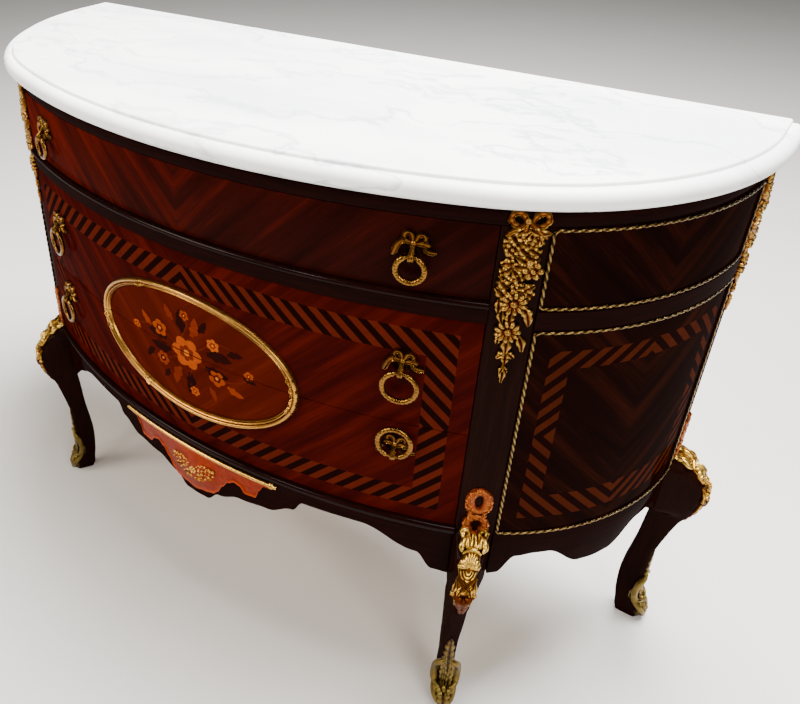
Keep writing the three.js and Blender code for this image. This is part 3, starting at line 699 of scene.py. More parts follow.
@dataclass(frozen=True)
class Marble(Finish):
    """Fine white marble, ground and polished: grey clouds, a few thin veins and a clear gloss."""

    slot: ClassVar[str] = "marble"
    white: str = "#fbfbf9"
    cloud: str = "#dfe2e2"
    vein: str = "#b4bbbc"
    gloss: float = 0.4
    slant: float = math.radians(-24)
    bed: Triple = (455 * MM, 143 * MM, 143 * MM)
    fold: float = 200 * MM
    patch: float = 333 * MM
    # Clouds and veins to a length of the bed, where clouds begin and end, and the veins' thinness
    cloud_scale: float = 1.3
    vein_scale: float = 0.9
    cloud_span: Pair = (0.42, 0.66)
    vein_thinness: float = 55.0
    vein_strength: float = 1.3
    vein_roughness: float = 0.55
    gloss_spread: float = 0.05
    bump: float = 0.03
    bump_depth: float = 0.2 * MM
    # Its crystals are about 0.3 mm across and are drawn at 1.4 mm, the finest that shows
    crystal: float = 1.4 * MM

    def look(self, add: Add) -> dict[str, object]:
        """Draws clouds, and veins along a warped slant."""
        place = add("TexCoord").outputs["Object"]
        warp = add("TexNoise", {"Vector": place, "Scale": 1 / self.fold, "Detail": 5.0})
        slant = add(
            "Mapping",
            {"Vector": place, "Scale": repeats(*self.bed), "Rotation": (0, 0, self.slant)},
        )
        shifted = add("VectorMath", (slant, warp), operation="ADD")
        cloud = add("TexNoise", {"Vector": shifted, "Scale": self.cloud_scale, "Detail": 6.0})
        stops = tuple(zip(self.cloud_span, (self.white, self.cloud)))
        clouds = add("ValToRGB", (cloud,), stops)
        veins = {"Scale": self.vein_scale, "Detail": 7.0, "Roughness": self.vein_roughness}
        wave = add("TexNoise", {"Vector": shifted, **veins})
        ridge = add("Math", (add("Math", (wave, 0.5), operation="SUBTRACT"),), operation="ABSOLUTE")
        falling = (ridge, -self.vein_thinness, 1.0)
        thin = add("Math", falling, operation="MULTIPLY_ADD", use_clamp=True)
        patch = add("TexNoise", {"Vector": place, "Scale": 1 / self.patch, "Detail": 2.0})
        faint = add("Math", (patch, self.vein_strength), operation="MULTIPLY")
        share = add("Math", (thin, faint), operation="MULTIPLY", use_clamp=True)
        grain = add("TexNoise", {"Vector": place, "Scale": 1 / self.crystal, "Detail": 2.0})
        veined = add("Mix", {0: share, 6: clouds, 7: self.vein}, data_type="RGBA")
        rough = (grain, self.gloss_spread, self.gloss)
        bump = {"Height": grain, "Strength": self.bump, "Distance": self.bump_depth}
        return {
            "Base Color": veined.outputs[2],
            "Roughness": add("Math", rough, operation="MULTIPLY_ADD"),
            "Normal": add("Bump", bump),
        }


@dataclass(frozen=True)
class PolishedWood(Finish):
    """Beech stained black and french polished: a cloudy gloss, its long grain only just seen."""

    slot: ClassVar[str] = "ebonised_wood"
    dark: str = "#0d0302"
    light: str = "#190604"
    tone_span: Pair = (0.3, 0.75)
    gloss: float = 0.24
    gloss_spread: float = 0.18
    coat: float = 0.025
    coat_gloss: float = 0.07
    bump: float = 0.12
    bump_depth: float = 0.2 * MM
    # Beech pores are about 0.1 mm wide and are drawn at 4.5 mm, so that the run of the grain shows
    grain: Triple = (71 * MM, 71 * MM, 4.5 * MM)
    wear: float = 45 * MM

    def grain_share(self, add: Add) -> Node:
        """Returns how light the grain is, from 0 to 1."""
        place = add(
            "Mapping", {"Vector": add("TexCoord").outputs["Object"], "Scale": repeats(*self.grain)}
        )
        return add("TexNoise", {"Vector": place, "Scale": 1.0, "Detail": 6.0, "Roughness": 0.6})

    def tint(self, add: Add, grain: Node) -> Link:
        """Returns the wood's colour from its grain."""
        return add("ValToRGB", (grain,), tuple(zip(self.tone_span, (self.dark, self.light))))

    def look(self, add: Add) -> dict[str, object]:
        """Draws the grain under a polish with a slow ripple and open pores."""
        grain = self.grain_share(add)
        place = add("TexCoord").outputs["Object"]
        clouds = add("TexNoise", {"Vector": place, "Scale": 1 / self.wear, "Detail": 3.0})
        rough = (clouds, self.gloss_spread, self.gloss)
        bump = {"Height": grain, "Strength": self.bump, "Distance": self.bump_depth}
        return {
            "Base Color": self.tint(add, grain),
            "Roughness": add("Math", rough, operation="MULTIPLY_ADD"),
            "Specular IOR Level": 0.0,
            "Coat Weight": self.coat,
            "Coat Roughness": self.coat_gloss,
            "Normal": add("Bump", bump),
        }


@dataclass(frozen=True)
class Veneer(PolishedWood):
    """Rosewood sliced thin, laid in a wide V and polished: dark streaks slant over a red brown."""

    slot: ClassVar[str] = "marquetry_veneer"
    coat: float = 0.012
    dark: str = "#1a0202"
    light: str = "#480c04"
    middle: str = "#300603"
    tone_stops: Triple = (0.3, 0.5, 0.72)
    fine_share: float = 0.28
    # Painted shade: how much the grain darkens for each metre towards the right
    drift: float = 0.0
    centre: float = 0.0
    broad: Pair = (29 * MM, 455 * MM)
    # Pore lines are about 0.3 mm apart and are drawn at 2.4 mm, the finest that shows
    fine: Pair = (2.4 * MM, 111 * MM)

    def plan_place(self, add: Add) -> Node:
        """Returns the place on the case, parted into s, out and height, in metres."""
        return add("SeparateXYZ", (add("Attribute", attribute_name="plan").outputs["Vector"],))

    def place(self, add: Add) -> tuple[Link, Link]:
        """Returns the distance from the panel's middle and the height, in metres."""
        parts = self.plan_place(add)
        size = add("Math", (parts,), operation="ABSOLUTE")
        off = add("Math", (size, self.centre), operation="SUBTRACT")
        return add("Math", (off,), operation="ABSOLUTE"), parts.outputs[2]

    def grain_share(self, add: Add) -> Node:
        """Returns streaks along the slant of the V, with painted shade that darkens them towards the
        right.
        """
        across, height = self.place(add)
        over = add("Math", (across, height), operation="SUBTRACT")
        along = add("Math", (across, height), operation="ADD")
        slanted = add("CombineXYZ", (over, along))
        streaks = []
        for size, detail in ((self.broad, 4.0), (self.fine, 3.0)):
            place = add("Mapping", {"Vector": slanted, "Scale": (*repeats(*size), 1)})
            noise = {"Vector": place, "Scale": 1.0, "Detail": detail, "Roughness": 0.6}
            streaks.append(add("TexNoise", noise))
        grain = add("Mix", {0: self.fine_share, 2: streaks[0], 3: streaks[1]})
        # Painted shade lowers the grain towards the right
        return add("Math", (self.plan_place(add), -self.drift, grain), operation="MULTIPLY_ADD")

    def tint(self, add: Add, grain: Node) -> Link:
        """Returns the veneer's colour from its grain."""
        tones = (self.dark, self.middle, self.light)
        return add("ValToRGB", (grain,), tuple(zip(self.tone_stops, tones)))


@dataclass(frozen=True)
class LadderVeneer(Veneer):
    """Veneer inlaid with a border of light and dark slanting slips that meet in points."""

    stripe_light: str = "#481408"
    stripe_dark: str = "#120302"
    stripe_streaks: float = 0.9
    stripe_level: float = 0.5
    pitch: float = 26 * MM
    outer: Triple = (388 * MM, 394 * MM, 680 * MM)
    inner: Triple = (352 * MM, 425 * MM, 644 * MM)
    stripe_centre: float = 534 * MM
    oval: Pair = (176 * MM, 94 * MM)
    oval_stops: Stops = ((0.28, "#340802"), (0.5, "#400d03"), (0.74, "#521605"))

    def beyond(self, add: Add, across: Link, height: Link, box: Triple) -> Node:
        """Returns how far a place lies outside a box of half width, bottom and top."""
        off = add("Math", (height, (box[1] + box[2]) / 2), operation="SUBTRACT")
        upright = add("Math", (off,), operation="ABSOLUTE")
        past_side = add("Math", (across, box[0]), operation="SUBTRACT")
        past_end = add("Math", (upright, (box[2] - box[1]) / 2), operation="SUBTRACT")
        return add("Math", (past_side, past_end), operation="MAXIMUM")

    def tint(self, add: Add, grain: Node) -> Link:
        """Returns the slips between two boxes, and the oval's ground, over the veneer."""
        across, height = self.place(add)
        tests = [
            add("Math", (self.beyond(add, across, height, box), 0.0), operation=test)
            for box, test in ((self.outer, "LESS_THAN"), (self.inner, "GREATER_THAN"))
        ]
        border = add("Math", tests, operation="MULTIPLY")
        off = add("Math", (height, self.stripe_centre), operation="SUBTRACT")
        slant = add("Math", (across, add("Math", (off,), operation="ABSOLUTE")), operation="ADD")
        turns = add("Math", (slant, self.pitch), operation="DIVIDE")
        # A light slip and a dark one to each pitch
        wave = add("Math", (turns, 0.5), operation="PINGPONG")
        slip = add("Math", (wave, 0.25), operation="GREATER_THAN")
        streaky = (grain, self.stripe_streaks, self.stripe_level)
        tone = add("Math", streaky, operation="MULTIPLY_ADD")
        toned = {0: 1.0, 6: self.stripe_light, 7: tone}
        light = add("Mix", toned, data_type="RGBA", blend_type="MULTIPLY").outputs[2]
        ladder = add("Mix", {0: slip, 6: self.stripe_dark, 7: light}, data_type="RGBA").outputs[2]
        layers = {0: border, 6: super().tint(add, grain), 7: ladder}
        whole = add("Mix", layers, data_type="RGBA").outputs[2]
        if self.centre:
            return whole
        reach: Link | float = 0.0
        rise = add("Math", (height, CASE.seam), operation="SUBTRACT")
        for value, half in zip((across, rise), self.oval):
            ratio = add("Math", (value, half), operation="DIVIDE")
            reach = add("Math", (ratio, ratio, reach), operation="MULTIPLY_ADD")
        within = add("Math", (reach, 1.0), operation="LESS_THAN")
        ground = add("ValToRGB", (grain,), self.oval_stops)
        return add("Mix", {0: within, 6: whole, 7: ground}, data_type="RGBA").outputs[2]


@dataclass(frozen=True)
class Gilt(Finish):
    """Sand cast brass, chased and gilt, a little pitted: painted shade in its hollows, crests
    lighter by rubbing and painted highlight.
    """

    slot: ClassVar[str] = "gilt_brass"
    # Tones of the hollows in painted shade, of the body, and of the crests with rubbing and painted
    # highlight
    hollow: str
    body: str
    crest: str
    tone_stops: Triple = (0.08, 0.45, 0.95)
    gloss: float = 0.3
    pitting: float = 0.25
    blotch: float = 11 * MM
    blotch_share: float = 0.5
    bump: float = 0.35
    bump_depth: float = 0.3 * MM
    # Sand leaves pits of about 0.3 mm, drawn at 1.1 mm, the finest that shows
    pit: float = 1.1 * MM

    def look(self, add: Add) -> dict[str, object]:
        """Draws the stored tones of painted shade, painted highlight and rubbing, with blotches and
        cast grain.
        """
        place = add("TexCoord").outputs["Object"]
        # The stored tone: painted shade in hollows, painted highlight and rubbing on crests
        relief = add("Attribute", attribute_name="relief").outputs["Fac"]
        blotch = add("TexNoise", {"Vector": place, "Scale": 1 / self.blotch, "Detail": 3.0})
        off = add("Math", (blotch, 0.5), operation="SUBTRACT")
        blotched = (off, self.blotch_share, relief)
        patch = add("Math", blotched, operation="MULTIPLY_ADD", use_clamp=True)
        grain = add("TexNoise", {"Vector": place, "Scale": 1 / self.pit, "Detail": 3.0})
        stops = tuple(zip(self.tone_stops, (self.hollow, self.body, self.crest)))
        rough = (grain, self.pitting, self.gloss - self.pitting / 2)
        bump = {"Height": grain, "Strength": self.bump, "Distance": self.bump_depth}
        return {
            "Base Color": add("ValToRGB", (patch,), stops),
            "Metallic": 1.0,
            "Roughness": add("Math", rough, operation="MULTIPLY_ADD"),
            "Normal": add("Bump", bump),
        }


@dataclass(frozen=True)
class InlayWood(Finish):
    """Sawn veneers of several woods, sand shaded and polished: each its own tone, with streaks."""

    slot: ClassVar[str] = "marquetry_veneer"
    gloss: float = 0.22
    gloss_spread: float = 0.1
    streak_share: float = 0.22
    coat: float = 0.02
    coat_gloss: float = 0.07
    # Pore lines of 0.2 mm are drawn at 2 mm, the finest that shows
    grain: Triple = (11 * MM, 11 * MM, 2 * MM)
    stops: Stops = (
        (0.0, "#120202"), (0.3, "#260603"), (0.55, "#641e06"), (0.8, "#8e3c0e"), (1.0, "#a85a1e"),
    )

    def look(self, add: Add) -> dict[str, object]:
        """Draws each leaf or petal from its stored tone, scorched a little by noise."""
        tone = add("Attribute", attribute_name="tone").outputs["Fac"]
        place = add(
            "Mapping", {"Vector": add("TexCoord").outputs["Object"], "Scale": repeats(*self.grain)}
        )
        streaks = add("TexNoise", {"Vector": place, "Scale": 1.0, "Detail": 4.0})
        off = add("Math", (streaks, 0.5), operation="SUBTRACT")
        streaky, rough = (off, self.streak_share, tone), (streaks, self.gloss_spread, self.gloss)
        share = add("Math", streaky, operation="MULTIPLY_ADD", use_clamp=True)
        return {
            "Base Color": add("ValToRGB", (share,), self.stops),
            "Roughness": add("Math", rough, operation="MULTIPLY_ADD"),
            "Specular IOR Level": 0.0,
            "Coat Weight": self.coat,
            "Coat Roughness": self.coat_gloss,
        }


@dataclass(frozen=True)
class PaleFloor(Finish):
    """Matt painted backdrop board: plain, with a hardly seen unevenness."""

    tone: str = "#c9c7c3"
    worn: str = "#cecbc7"
    tone_span: Pair = (0.2, 0.8)
    cloud: float = 333 * MM
    gloss: float = 0.75
    shine: float = 0.1

    def look(self, add: Add) -> dict[str, object]:
        """Draws the floor's colour."""
        place = add("TexCoord").outputs["Object"]
        clouds = add("TexNoise", {"Vector": place, "Scale": 1 / self.cloud, "Detail": 3.0})
        tone = add("ValToRGB", (clouds,), tuple(zip(self.tone_span, (self.tone, self.worn))))
        return {"Base Color": tone, "Roughness": self.gloss, "Specular IOR Level": self.shine}


MARBLE = Marble("Polished white marble")
EBONISED = PolishedWood("French polished ebonised beech")
LEG_WOOD = PolishedWood(
    "French polished ebonised beech leg", dark="#100504", light="#1c0a06",
    grain=(4.5 * MM, 4.5 * MM, 71 * MM),
)
BEAD = PolishedWood("Waxed ebonised beech bead", coat=0.12, coat_gloss=0.16)
DEAL = PolishedWood(
    "Planed pine", dark="#6e4a26", light="#a87c48", gloss=0.55, coat=0.0,
    grain=(167 * MM, 9 * MM, 6 * MM),
)
# Its painted shade darkens the upper drawer towards its right end
TOP_VENEER = Veneer(
    "Polished dark rosewood veneer", dark="#180604", middle="#280906", light="#4a0f06", drift=0.42
)
FRONT_VENEER = LadderVeneer("Polished rosewood marquetry")
END_VENEER = LadderVeneer(
    "Polished dark rosewood marquetry", dark="#090202", middle="#120402", light="#2a0d05",
    centre=627.6 * MM, outer=(135.5 * MM, 393 * MM, 666 * MM),
    inner=(109.6 * MM, 433 * MM, 640 * MM), stripe_centre=536.5 * MM, stripe_light="#3a1508",
)
GILT = Gilt("Cast gilt brass", hollow="#220b03", body="#6a3a12", crest="#b08838")
DROP_GILT = Gilt(
    "Cast gilt brass dulled by age", hollow="#2c0e04", body="#683612", crest="#987534", gloss=0.36
)
KNEE_GILT = Gilt(
    "Burnished gilt brass", hollow="#3c1e08", body="#88601c", crest="#d2ac50", gloss=0.32
)
BAR_GILT = Gilt(
    "Burnished gilt brass bar", hollow="#3a2008", body="#94641f", crest="#d2a44c", gloss=0.28
)
OVAL_GILT = Gilt(
    "Rolled gilt brass moulding", hollow="#3a1604", body="#80481a", crest="#b4883c", pitting=0.15
)
COPPER_GILT = Gilt(
    "Cast copper toned brass", hollow="#240803", body="#5e2008", crest="#a05a26", gloss=0.4
)
TIP_GILT = Gilt(
    "Cast copper toned brass worn brown", hollow="#1c0602", body="#3c1405", crest="#64300c",
    gloss=0.55,
)
PLATE_GILT = Gilt(
    "Stamped copper sheet", hollow="#2c0802", body="#6e1b03", crest="#9c3a0e", gloss=0.44,
    blotch=7 * MM,
)
RING_GILT = Gilt(
    "Cast gilt brass rings", hollow="#1c0a04", body="#4a2a0d", crest="#8c642a", gloss=0.27,
    pitting=0.2,
)
ROPE_GILT = Gilt(
    "Twisted gilt brass wire", hollow="#080302", body="#30200e", crest="#8c703a", gloss=0.34
)
SABOT_GILT = Gilt(
    "Cast gilt brass shoes", hollow="#160c03", body="#453011", crest="#7c6832", gloss=0.36
)
INLAY = InlayWood("Sand shaded fruitwood inlay")


# Studio


@dataclass(frozen=True)
class Studio:
    """Camera at the photograph's angle, soft lights and a pale floor."""

    camera_place: Triple = (0.66336, -0.87099, 1.21004)
    azimuth: float = math.radians(38.49)
    elevation: float = math.radians(30.66)
    roll: float = math.radians(-1.114)
    picture_width: float = 800
    focal_pixels: float = 785.64
    sensor: float = 36.0
    shift: Pair = (0.1737, -0.0954)
    floor_size: float = 14.0
    aim: Triple = (0, 0, 0.5)
    air: float = 0.16
    nearest: float = 0.01
    # Key, fill, top and glint: place, size in metres, power in watts and tint
    lights: tuple[tuple[Triple, float, float, str], ...] = (
        ((-2.2, -2.6, 2.6), 1.6, 150, "#fff4e6"), ((2.6, -1.6, 2.4), 1.4, 80, "#fff8ee"),
        ((0.4, 0.6, 3.0), 1.8, 530, "#ffffff"), ((-0.5, -2.6, 2.9), 0.45, 26, "#ffffff"),
    )

    def build(self) -> None:
        """Makes the camera, the lights, the floor and the world."""
        self.make_camera()
        self.make_lights()
        self.make_floor()

    def make_camera(self) -> None:
        """Sets the camera where the photograph was taken from."""
        a, e = self.azimuth, self.elevation
        back = Vector((math.sin(a) * math.cos(e), -math.cos(a) * math.cos(e), math.sin(e)))
        level = Vector((math.cos(a), math.sin(a), 0))
        upright = back.cross(level)
        right = level * math.cos(self.roll) + upright * math.sin(self.roll)
        upward = upright * math.cos(self.roll) - level * math.sin(self.roll)
        bpy.ops.object.camera_add()
        camera = bpy.context.active_object
        turned = Matrix((right, upward, back)).transposed().to_4x4()
        camera.matrix_world = Matrix.Translation(self.camera_place) @ turned
        camera.data.sensor_width = self.sensor
        camera.data.lens = self.focal_pixels / self.picture_width * self.sensor
        camera.data.shift_x, camera.data.shift_y = self.shift
        camera.data.clip_start = self.nearest
        bpy.context.scene.camera = camera

    def make_light(self, place: Triple, size: float, power: float, tint: str) -> None:
        """Adds a soft square light that looks at the chest."""
        bpy.ops.object.light_add(type="AREA", location=place)
        light = bpy.context.active_object
        aim = Vector(self.aim) - light.location
        light.rotation_euler = aim.to_track_quat("-Z", "Y").to_euler()
        light.data.size = size
        light.data.energy = power
        light.data.color = colour(tint)[:3]

    def make_lights(self) -> None:
        """Adds the lights and a dim even world."""
        for light in self.lights:
            self.make_light(*light)
        world = bpy.data.worlds.new("Studio air")
        bpy.context.scene.world = world
        world.use_nodes = True
        background = next(node for node in world.node_tree.nodes if node.type == "BACKGROUND")
        background.inputs["Color"].default_value = colour("#ffffff")
        background.inputs["Strength"].default_value = self.air

    def make_floor(self) -> None:
        """Lays the floor."""
        deselect_all()
        bpy.ops.mesh.primitive_plane_add(size=self.floor_size, location=(0, 0, 0))
        floor = bpy.context.active_object
        floor.name = "floor"
        floor.data.materials.append(PaleFloor("Pale floor").material)


# Forms that follow the plan


def spaced(start: float, end: float, step: float) -> list[float]:
    """Returns even places from start to end, about a step apart."""
    count = max(round((end - start) / step), 1)
    return [between(start, end, i / count) for i in range(count + 1)]


def band(name: str, places: Sequence[float], section: Callable[[float], Sequence[Pair]]) -> Piece:
    """Makes a piece that runs round the case.

    Args:
        name: the piece's name.
        places: places s along the case, in order.
        section: gives the closed section of (out, z) points at a place.

    Returns:
        The closed piece.
    """
    sections = [section(s) for s in places]
    count = len(sections[0])

    def place(column: int, row: int) -> Vector:
        """Places one vertex of the band."""
        out, z = sections[column][row % count]
        return PLAN.point(places[column], out, z)

    return wrapped_grid(name, len(places) - 1, count, place)


def half_round(out: float, middle: float, radius: float, tall: float, steps: int) -> list[Pair]:
    """Returns the points of a rounded moulding, from its foot to its top."""
    angles = [math.pi * (k / steps - 0.5) for k in range(steps + 1)]
    return [(out + radius * math.cos(angle), middle + tall * math.sin(angle)) for angle in angles]


@dataclass(frozen=True)
class MarbleTop:
    """Marble slab with a full bullnose, a groove and a small step up to its flat."""

    bullnose: float = 12.6 * MM
    step: float = 3 * MM
    groove: float = 0.3 * MM
    step_back: float = 0.2 * MM
    arc_steps: int = 14
    step_steps: int = 5
    spacing: float = 8 * MM

    def profile(self) -> list[Pair]:
        """Returns the edge from the underside to the flat."""
        foot = CASE.marble_bottom
        lip = PLAN.overhang - self.bullnose
        points = half_round(lip, foot + self.bullnose, self.bullnose, self.bullnose, self.arc_steps)
        top = foot + 2 * self.bullnose
        cove = lip - self.step
        points += [(between(lip, cove, 0.5), top - self.groove), (cove, top)]
        points.append((cove - self.step_back, CASE.top - self.step))
        for k in range(self.step_steps + 1):
            angle = math.pi / 2 * k / self.step_steps
            out = cove - self.step * (1 - math.cos(angle)) - self.step_back
            points.append((out, CASE.top - self.step * (1 - math.sin(angle))))
        return points

    def build(self) -> None:
        """Makes the slab in place of its solid."""
        profile = self.profile()
        places = spaced(-PLAN.half_girth, PLAN.half_girth, self.spacing)

        def place(column: int, row: int) -> Vector:
            """Places one vertex of the slab's edge."""
            out, z = profile[row]
            return PLAN.point(places[column % len(places)], out, z)

        slab = wrapped_grid("marble_slab", len(places), len(profile) - 1, place)
        finished(smoothed(slab), MARBLE, "carcass", "marble_top")


@dataclass(frozen=True)
class CaseWood:
    """Boards, rails, panels, aprons and legs of the carcass."""

    spacing: float = 6 * MM
    panel: float = 20 * MM
    proud: float = 2.5 * MM
    bead: float = 4.5 * MM
    rail_depth: float = 60 * MM
    end_band: Pair = (696 * MM, 723 * MM)
    band_slope: float = 1.6 * MM
    end_foot: float = 363 * MM
    front_drop: float = 121 * MM
    end_drop: float = 82 * MM
    bead_tall: float = 12 * MM
    bead_gap: float = 1 * MM
    bead_steps: int = 8
    edge: float = 0.8 * MM
    leg_steps: int = 90
    stile_shares: tuple[float, ...] = (1.05, 1.6)
    front_shares: Table = (
        (0, 1), (0.05, 0.99), (0.11, 0.82), (0.21, 0.69), (0.335, 0.64), (0.435, 0.48),
        (0.475, 0.31), (0.69, 0.3), (0.885, 0.54), (0.945, 0.77), (1, 0.79),
    )
    end_shares: Table = (
        (0, 0.93), (0.15, 0.91), (0.5, 0.5), (0.62, 0.5), (0.78, 0.55), (0.93, 0.95), (1, 0.98),
    )

    def build(self) -> None:
        """Makes every wooden piece of the carcass that shows."""
        self.make_top_board()
        self.make_rail()
        self.make_bottom_bead()
        self.make_panels()
        self.make_aprons()
        self.make_legs()

    def make_top_board(self) -> None:
        """Makes the board under the marble, whose edge shows as a dark band."""
        places = spaced(-PLAN.half_girth, PLAN.half_girth, self.spacing)
        heights = (CASE.board_bottom, CASE.board_top)

        def place(column: int, row: int) -> Vector:
            """Places one vertex of the board's edge."""
            return PLAN.point(places[column % len(places)], 0, heights[row])

        board = bevelled(wrapped_grid("top_board_edge", len(places), 1, place), self.edge)
        finished(smoothed(board), EBONISED, "carcass", "top_board")

    def make_rail(self) -> None:
        """Makes the rail under the upper drawer, with its bead."""
        end = CASE.stile_start - CASE.seat
        nose = half_round(
            self.proud, CASE.rail_top - self.bead, self.bead, self.bead, self.bead_steps
        )
        section = [(-self.rail_depth, CASE.rail_bottom), (self.proud, CASE.rail_bottom), *nose]
        section.append((-self.rail_depth, CASE.rail_top))
        rail = band("rail_with_bead", spaced(-end, end, self.spacing), lambda s: section)
        finished(smoothed(rail), EBONISED, "carcass", "middle_rail")
        rail.data.materials.append(BEAD.material)
        for face in rail.data.polygons:
            face.material_index = int(face.center.z > CASE.rail_top - 2 * self.bead)

    def make_bottom_bead(self) -> None:
        """Makes the bead under the lowest drawer."""
        end = CASE.stile_start - CASE.seat
        middle = CASE.case_floor - self.bead_gap - self.bead_tall / 2
        nose = half_round(self.proud, middle, self.bead, self.bead_tall / 2, self.bead_steps)
        section = [(CASE.seat, nose[0][1]), *nose, (CASE.seat, nose[-1][1])]
        bead = band("lower_bead", spaced(-end, end, self.spacing), lambda s: section)
        finished(smoothed(bead), BEAD, "carcass", "bottom_bead")

    def make_panels(self) -> None:
        """Makes the two end panels, each with its raised dark band."""
        start, end = CASE.stile_end + CASE.seat, CASE.rear_start - CASE.seat
        low, high = self.end_band
        top = CASE.board_bottom - CASE.seat
        section = [
            (-self.panel, self.end_foot), (0, self.end_foot), (0, low),
            (self.proud, low + self.band_slope), (self.proud, high - self.band_slope), (0, high),
            (0, top), (-self.panel, top),
        ]
        for side in Side:
            places = sorted(side.value * s for s in spaced(start, end, self.spacing))
            panel = plan_tagged(band(f"veneered_end_{side.word}", places, lambda s: section))
            finished(smoothed(panel), END_VENEER, "carcass", f"end_panel_{side.word}")
            panel.data.materials.append(EBONISED.material)
            for face in panel.data.polygons:
                if low - CASE.seat < face.center.z < high + CASE.seat:
                    face.material_index = 1

    def apron(
        self, name: str, start: float, end: float, top: float, drop: float, shares: Table
    ) -> Piece:
        """Makes an apron board with a shaped lower edge."""
        middle, half = (start + end) / 2, (end - start) / 2

        def section(s: float) -> list[Pair]:
            """Returns the board's section at a place."""
            low = top - drop * eased(shares, abs(s - middle) / half)
            return [(-self.panel, low), (0, low), (0, top), (-self.panel, top)]

        piece = band(name, spaced(start, end, self.spacing / 2), section)
        return smoothed(bevelled(piece, self.edge))

    def make_aprons(self) -> None:
        """Makes the front apron and the end aprons."""
        reach = CASE.stile_start - CASE.seat
        front = self.apron(
            "shaped_apron", -reach, reach, CASE.case_floor, self.front_drop, self.front_shares
        )
        finished(front, EBONISED, "carcass", "front_apron")
        start, end = CASE.stile_end + CASE.seat, CASE.rear_start - CASE.seat
        top = self.end_foot - CASE.seat
        for side in Side:
            first, last = sorted((side.value * start, side.value * end))
            name = f"shaped_apron_{side.word}"
            piece = self.apron(name, first, last, top, self.end_drop, self.end_shares)
            finished(piece, EBONISED, "carcass", f"end_apron_{side.word}")

    def make_legs(self) -> None:
        """Makes the four legs with their stiles."""
        steps = self.leg_steps
        shares = [k / steps for k in range(steps + 1)] + list(self.stile_shares)
        heights = [CASE.leg * share for share in shares] + [CASE.board_bottom - CASE.seat]
        for word, form in (("front", FRONT_LEG), ("rear", REAR_LEG)):
            outlines = [form.outline(height / CASE.leg) for height in heights]
            for side in Side:

                def place(column: int, row: int) -> Vector:
                    """Places one vertex of the leg."""
                    flat = outlines[column][row % len(outlines[column])]
                    return Vector((flat.x * side.value, flat.y, heights[column]))

                name = f"cabriole_{word}_{side.word}"
                leg = wrapped_grid(name, len(heights) - 1, len(outlines[0]), place)
                finished(smoothed(leg), LEG_WOOD, "carcass", f"{word}_leg_{side.word}")


CASE_WOOD = CaseWood()


@dataclass(frozen=True)
class DrawerFronts:
    """Bowed and veneered fronts of the three drawers."""

    thickness: float = 22 * MM
    spacing: float = 6 * MM
    edge: float = 0.7 * MM

    def build(self) -> None:
        """Makes the three fronts."""
        gap, half_gap = CASE.drawer_gap, CASE.drawer_gap / 2
        rows = (
            ("upper", CASE.rail_top + gap, CASE.board_bottom - gap, TOP_VENEER),
            ("middle", CASE.seam + half_gap, CASE.rail_bottom - gap, FRONT_VENEER),
            ("lower", CASE.case_floor + gap, CASE.seam - half_gap, FRONT_VENEER),
        )
        end = CASE.stile_start - gap
        for word, low, high, finish in rows:
            section = [(-self.thickness, low), (0, low), (0, high), (-self.thickness, high)]
            places = spaced(-end, end, self.spacing)
            front = band(f"veneered_{word}_front", places, lambda s: section)
            front = plan_tagged(smoothed(bevelled(front, self.edge)))
            finished(front, finish, f"{word}_drawer", f"{word}_drawer_front")


# Chased ornament, modelled flat as (across, up, lift) and then bent on to what carries it


class Crest(Enum):
    """Tops of chased strips, as shares of the half width and of the relief."""

    ROUND = ((-1, 0.0), (-0.8, 0.6), (-0.4, 0.92), (0, 1.0), (0.4, 0.92), (0.8, 0.6), (1, 0.0))
    LEAF = ((-1, 0.1), (-0.72, 0.8), (-0.35, 0.95), (0, 0.4), (0.35, 0.95), (0.72, 0.8), (1, 0.1))
    RIBBON = ((-1, 0.5), (-0.84, 1.0), (-0.5, 0.55), (0, 0.7), (0.5, 0.55), (0.84, 1.0), (1, 0.5))
    FLUTED = (
        (-1, 0.3), (-0.8, 0.9), (-0.55, 0.5), (-0.3, 1.0), (0, 0.55), (0.3, 1.0), (0.55, 0.5),
        (0.8, 0.9), (1, 0.3),
    )


def curve_through(knots: Sequence[Vector], count: int, closed: bool) -> list[Vector]:
    """Returns even steps along a smooth curve through its knots.

    Args:
        knots: the points to pass through.
        count: how many steps to take.
        closed: whether the curve returns to its first knot.

    Returns:
        The points, one more than the steps on an open curve.
    """
    size = len(knots)
    spans = size if closed else size - 1
    points = []
    for k in range(count + (not closed)):
        place = k / count * spans
        i = min(int(place), spans - 1)
        near = range(i - 1, i + 3)
        picked = [knots[j % size if closed else min(max(j, 0), size - 1)] for j in near]
        points.append(curved(*picked, place - i))
    return points


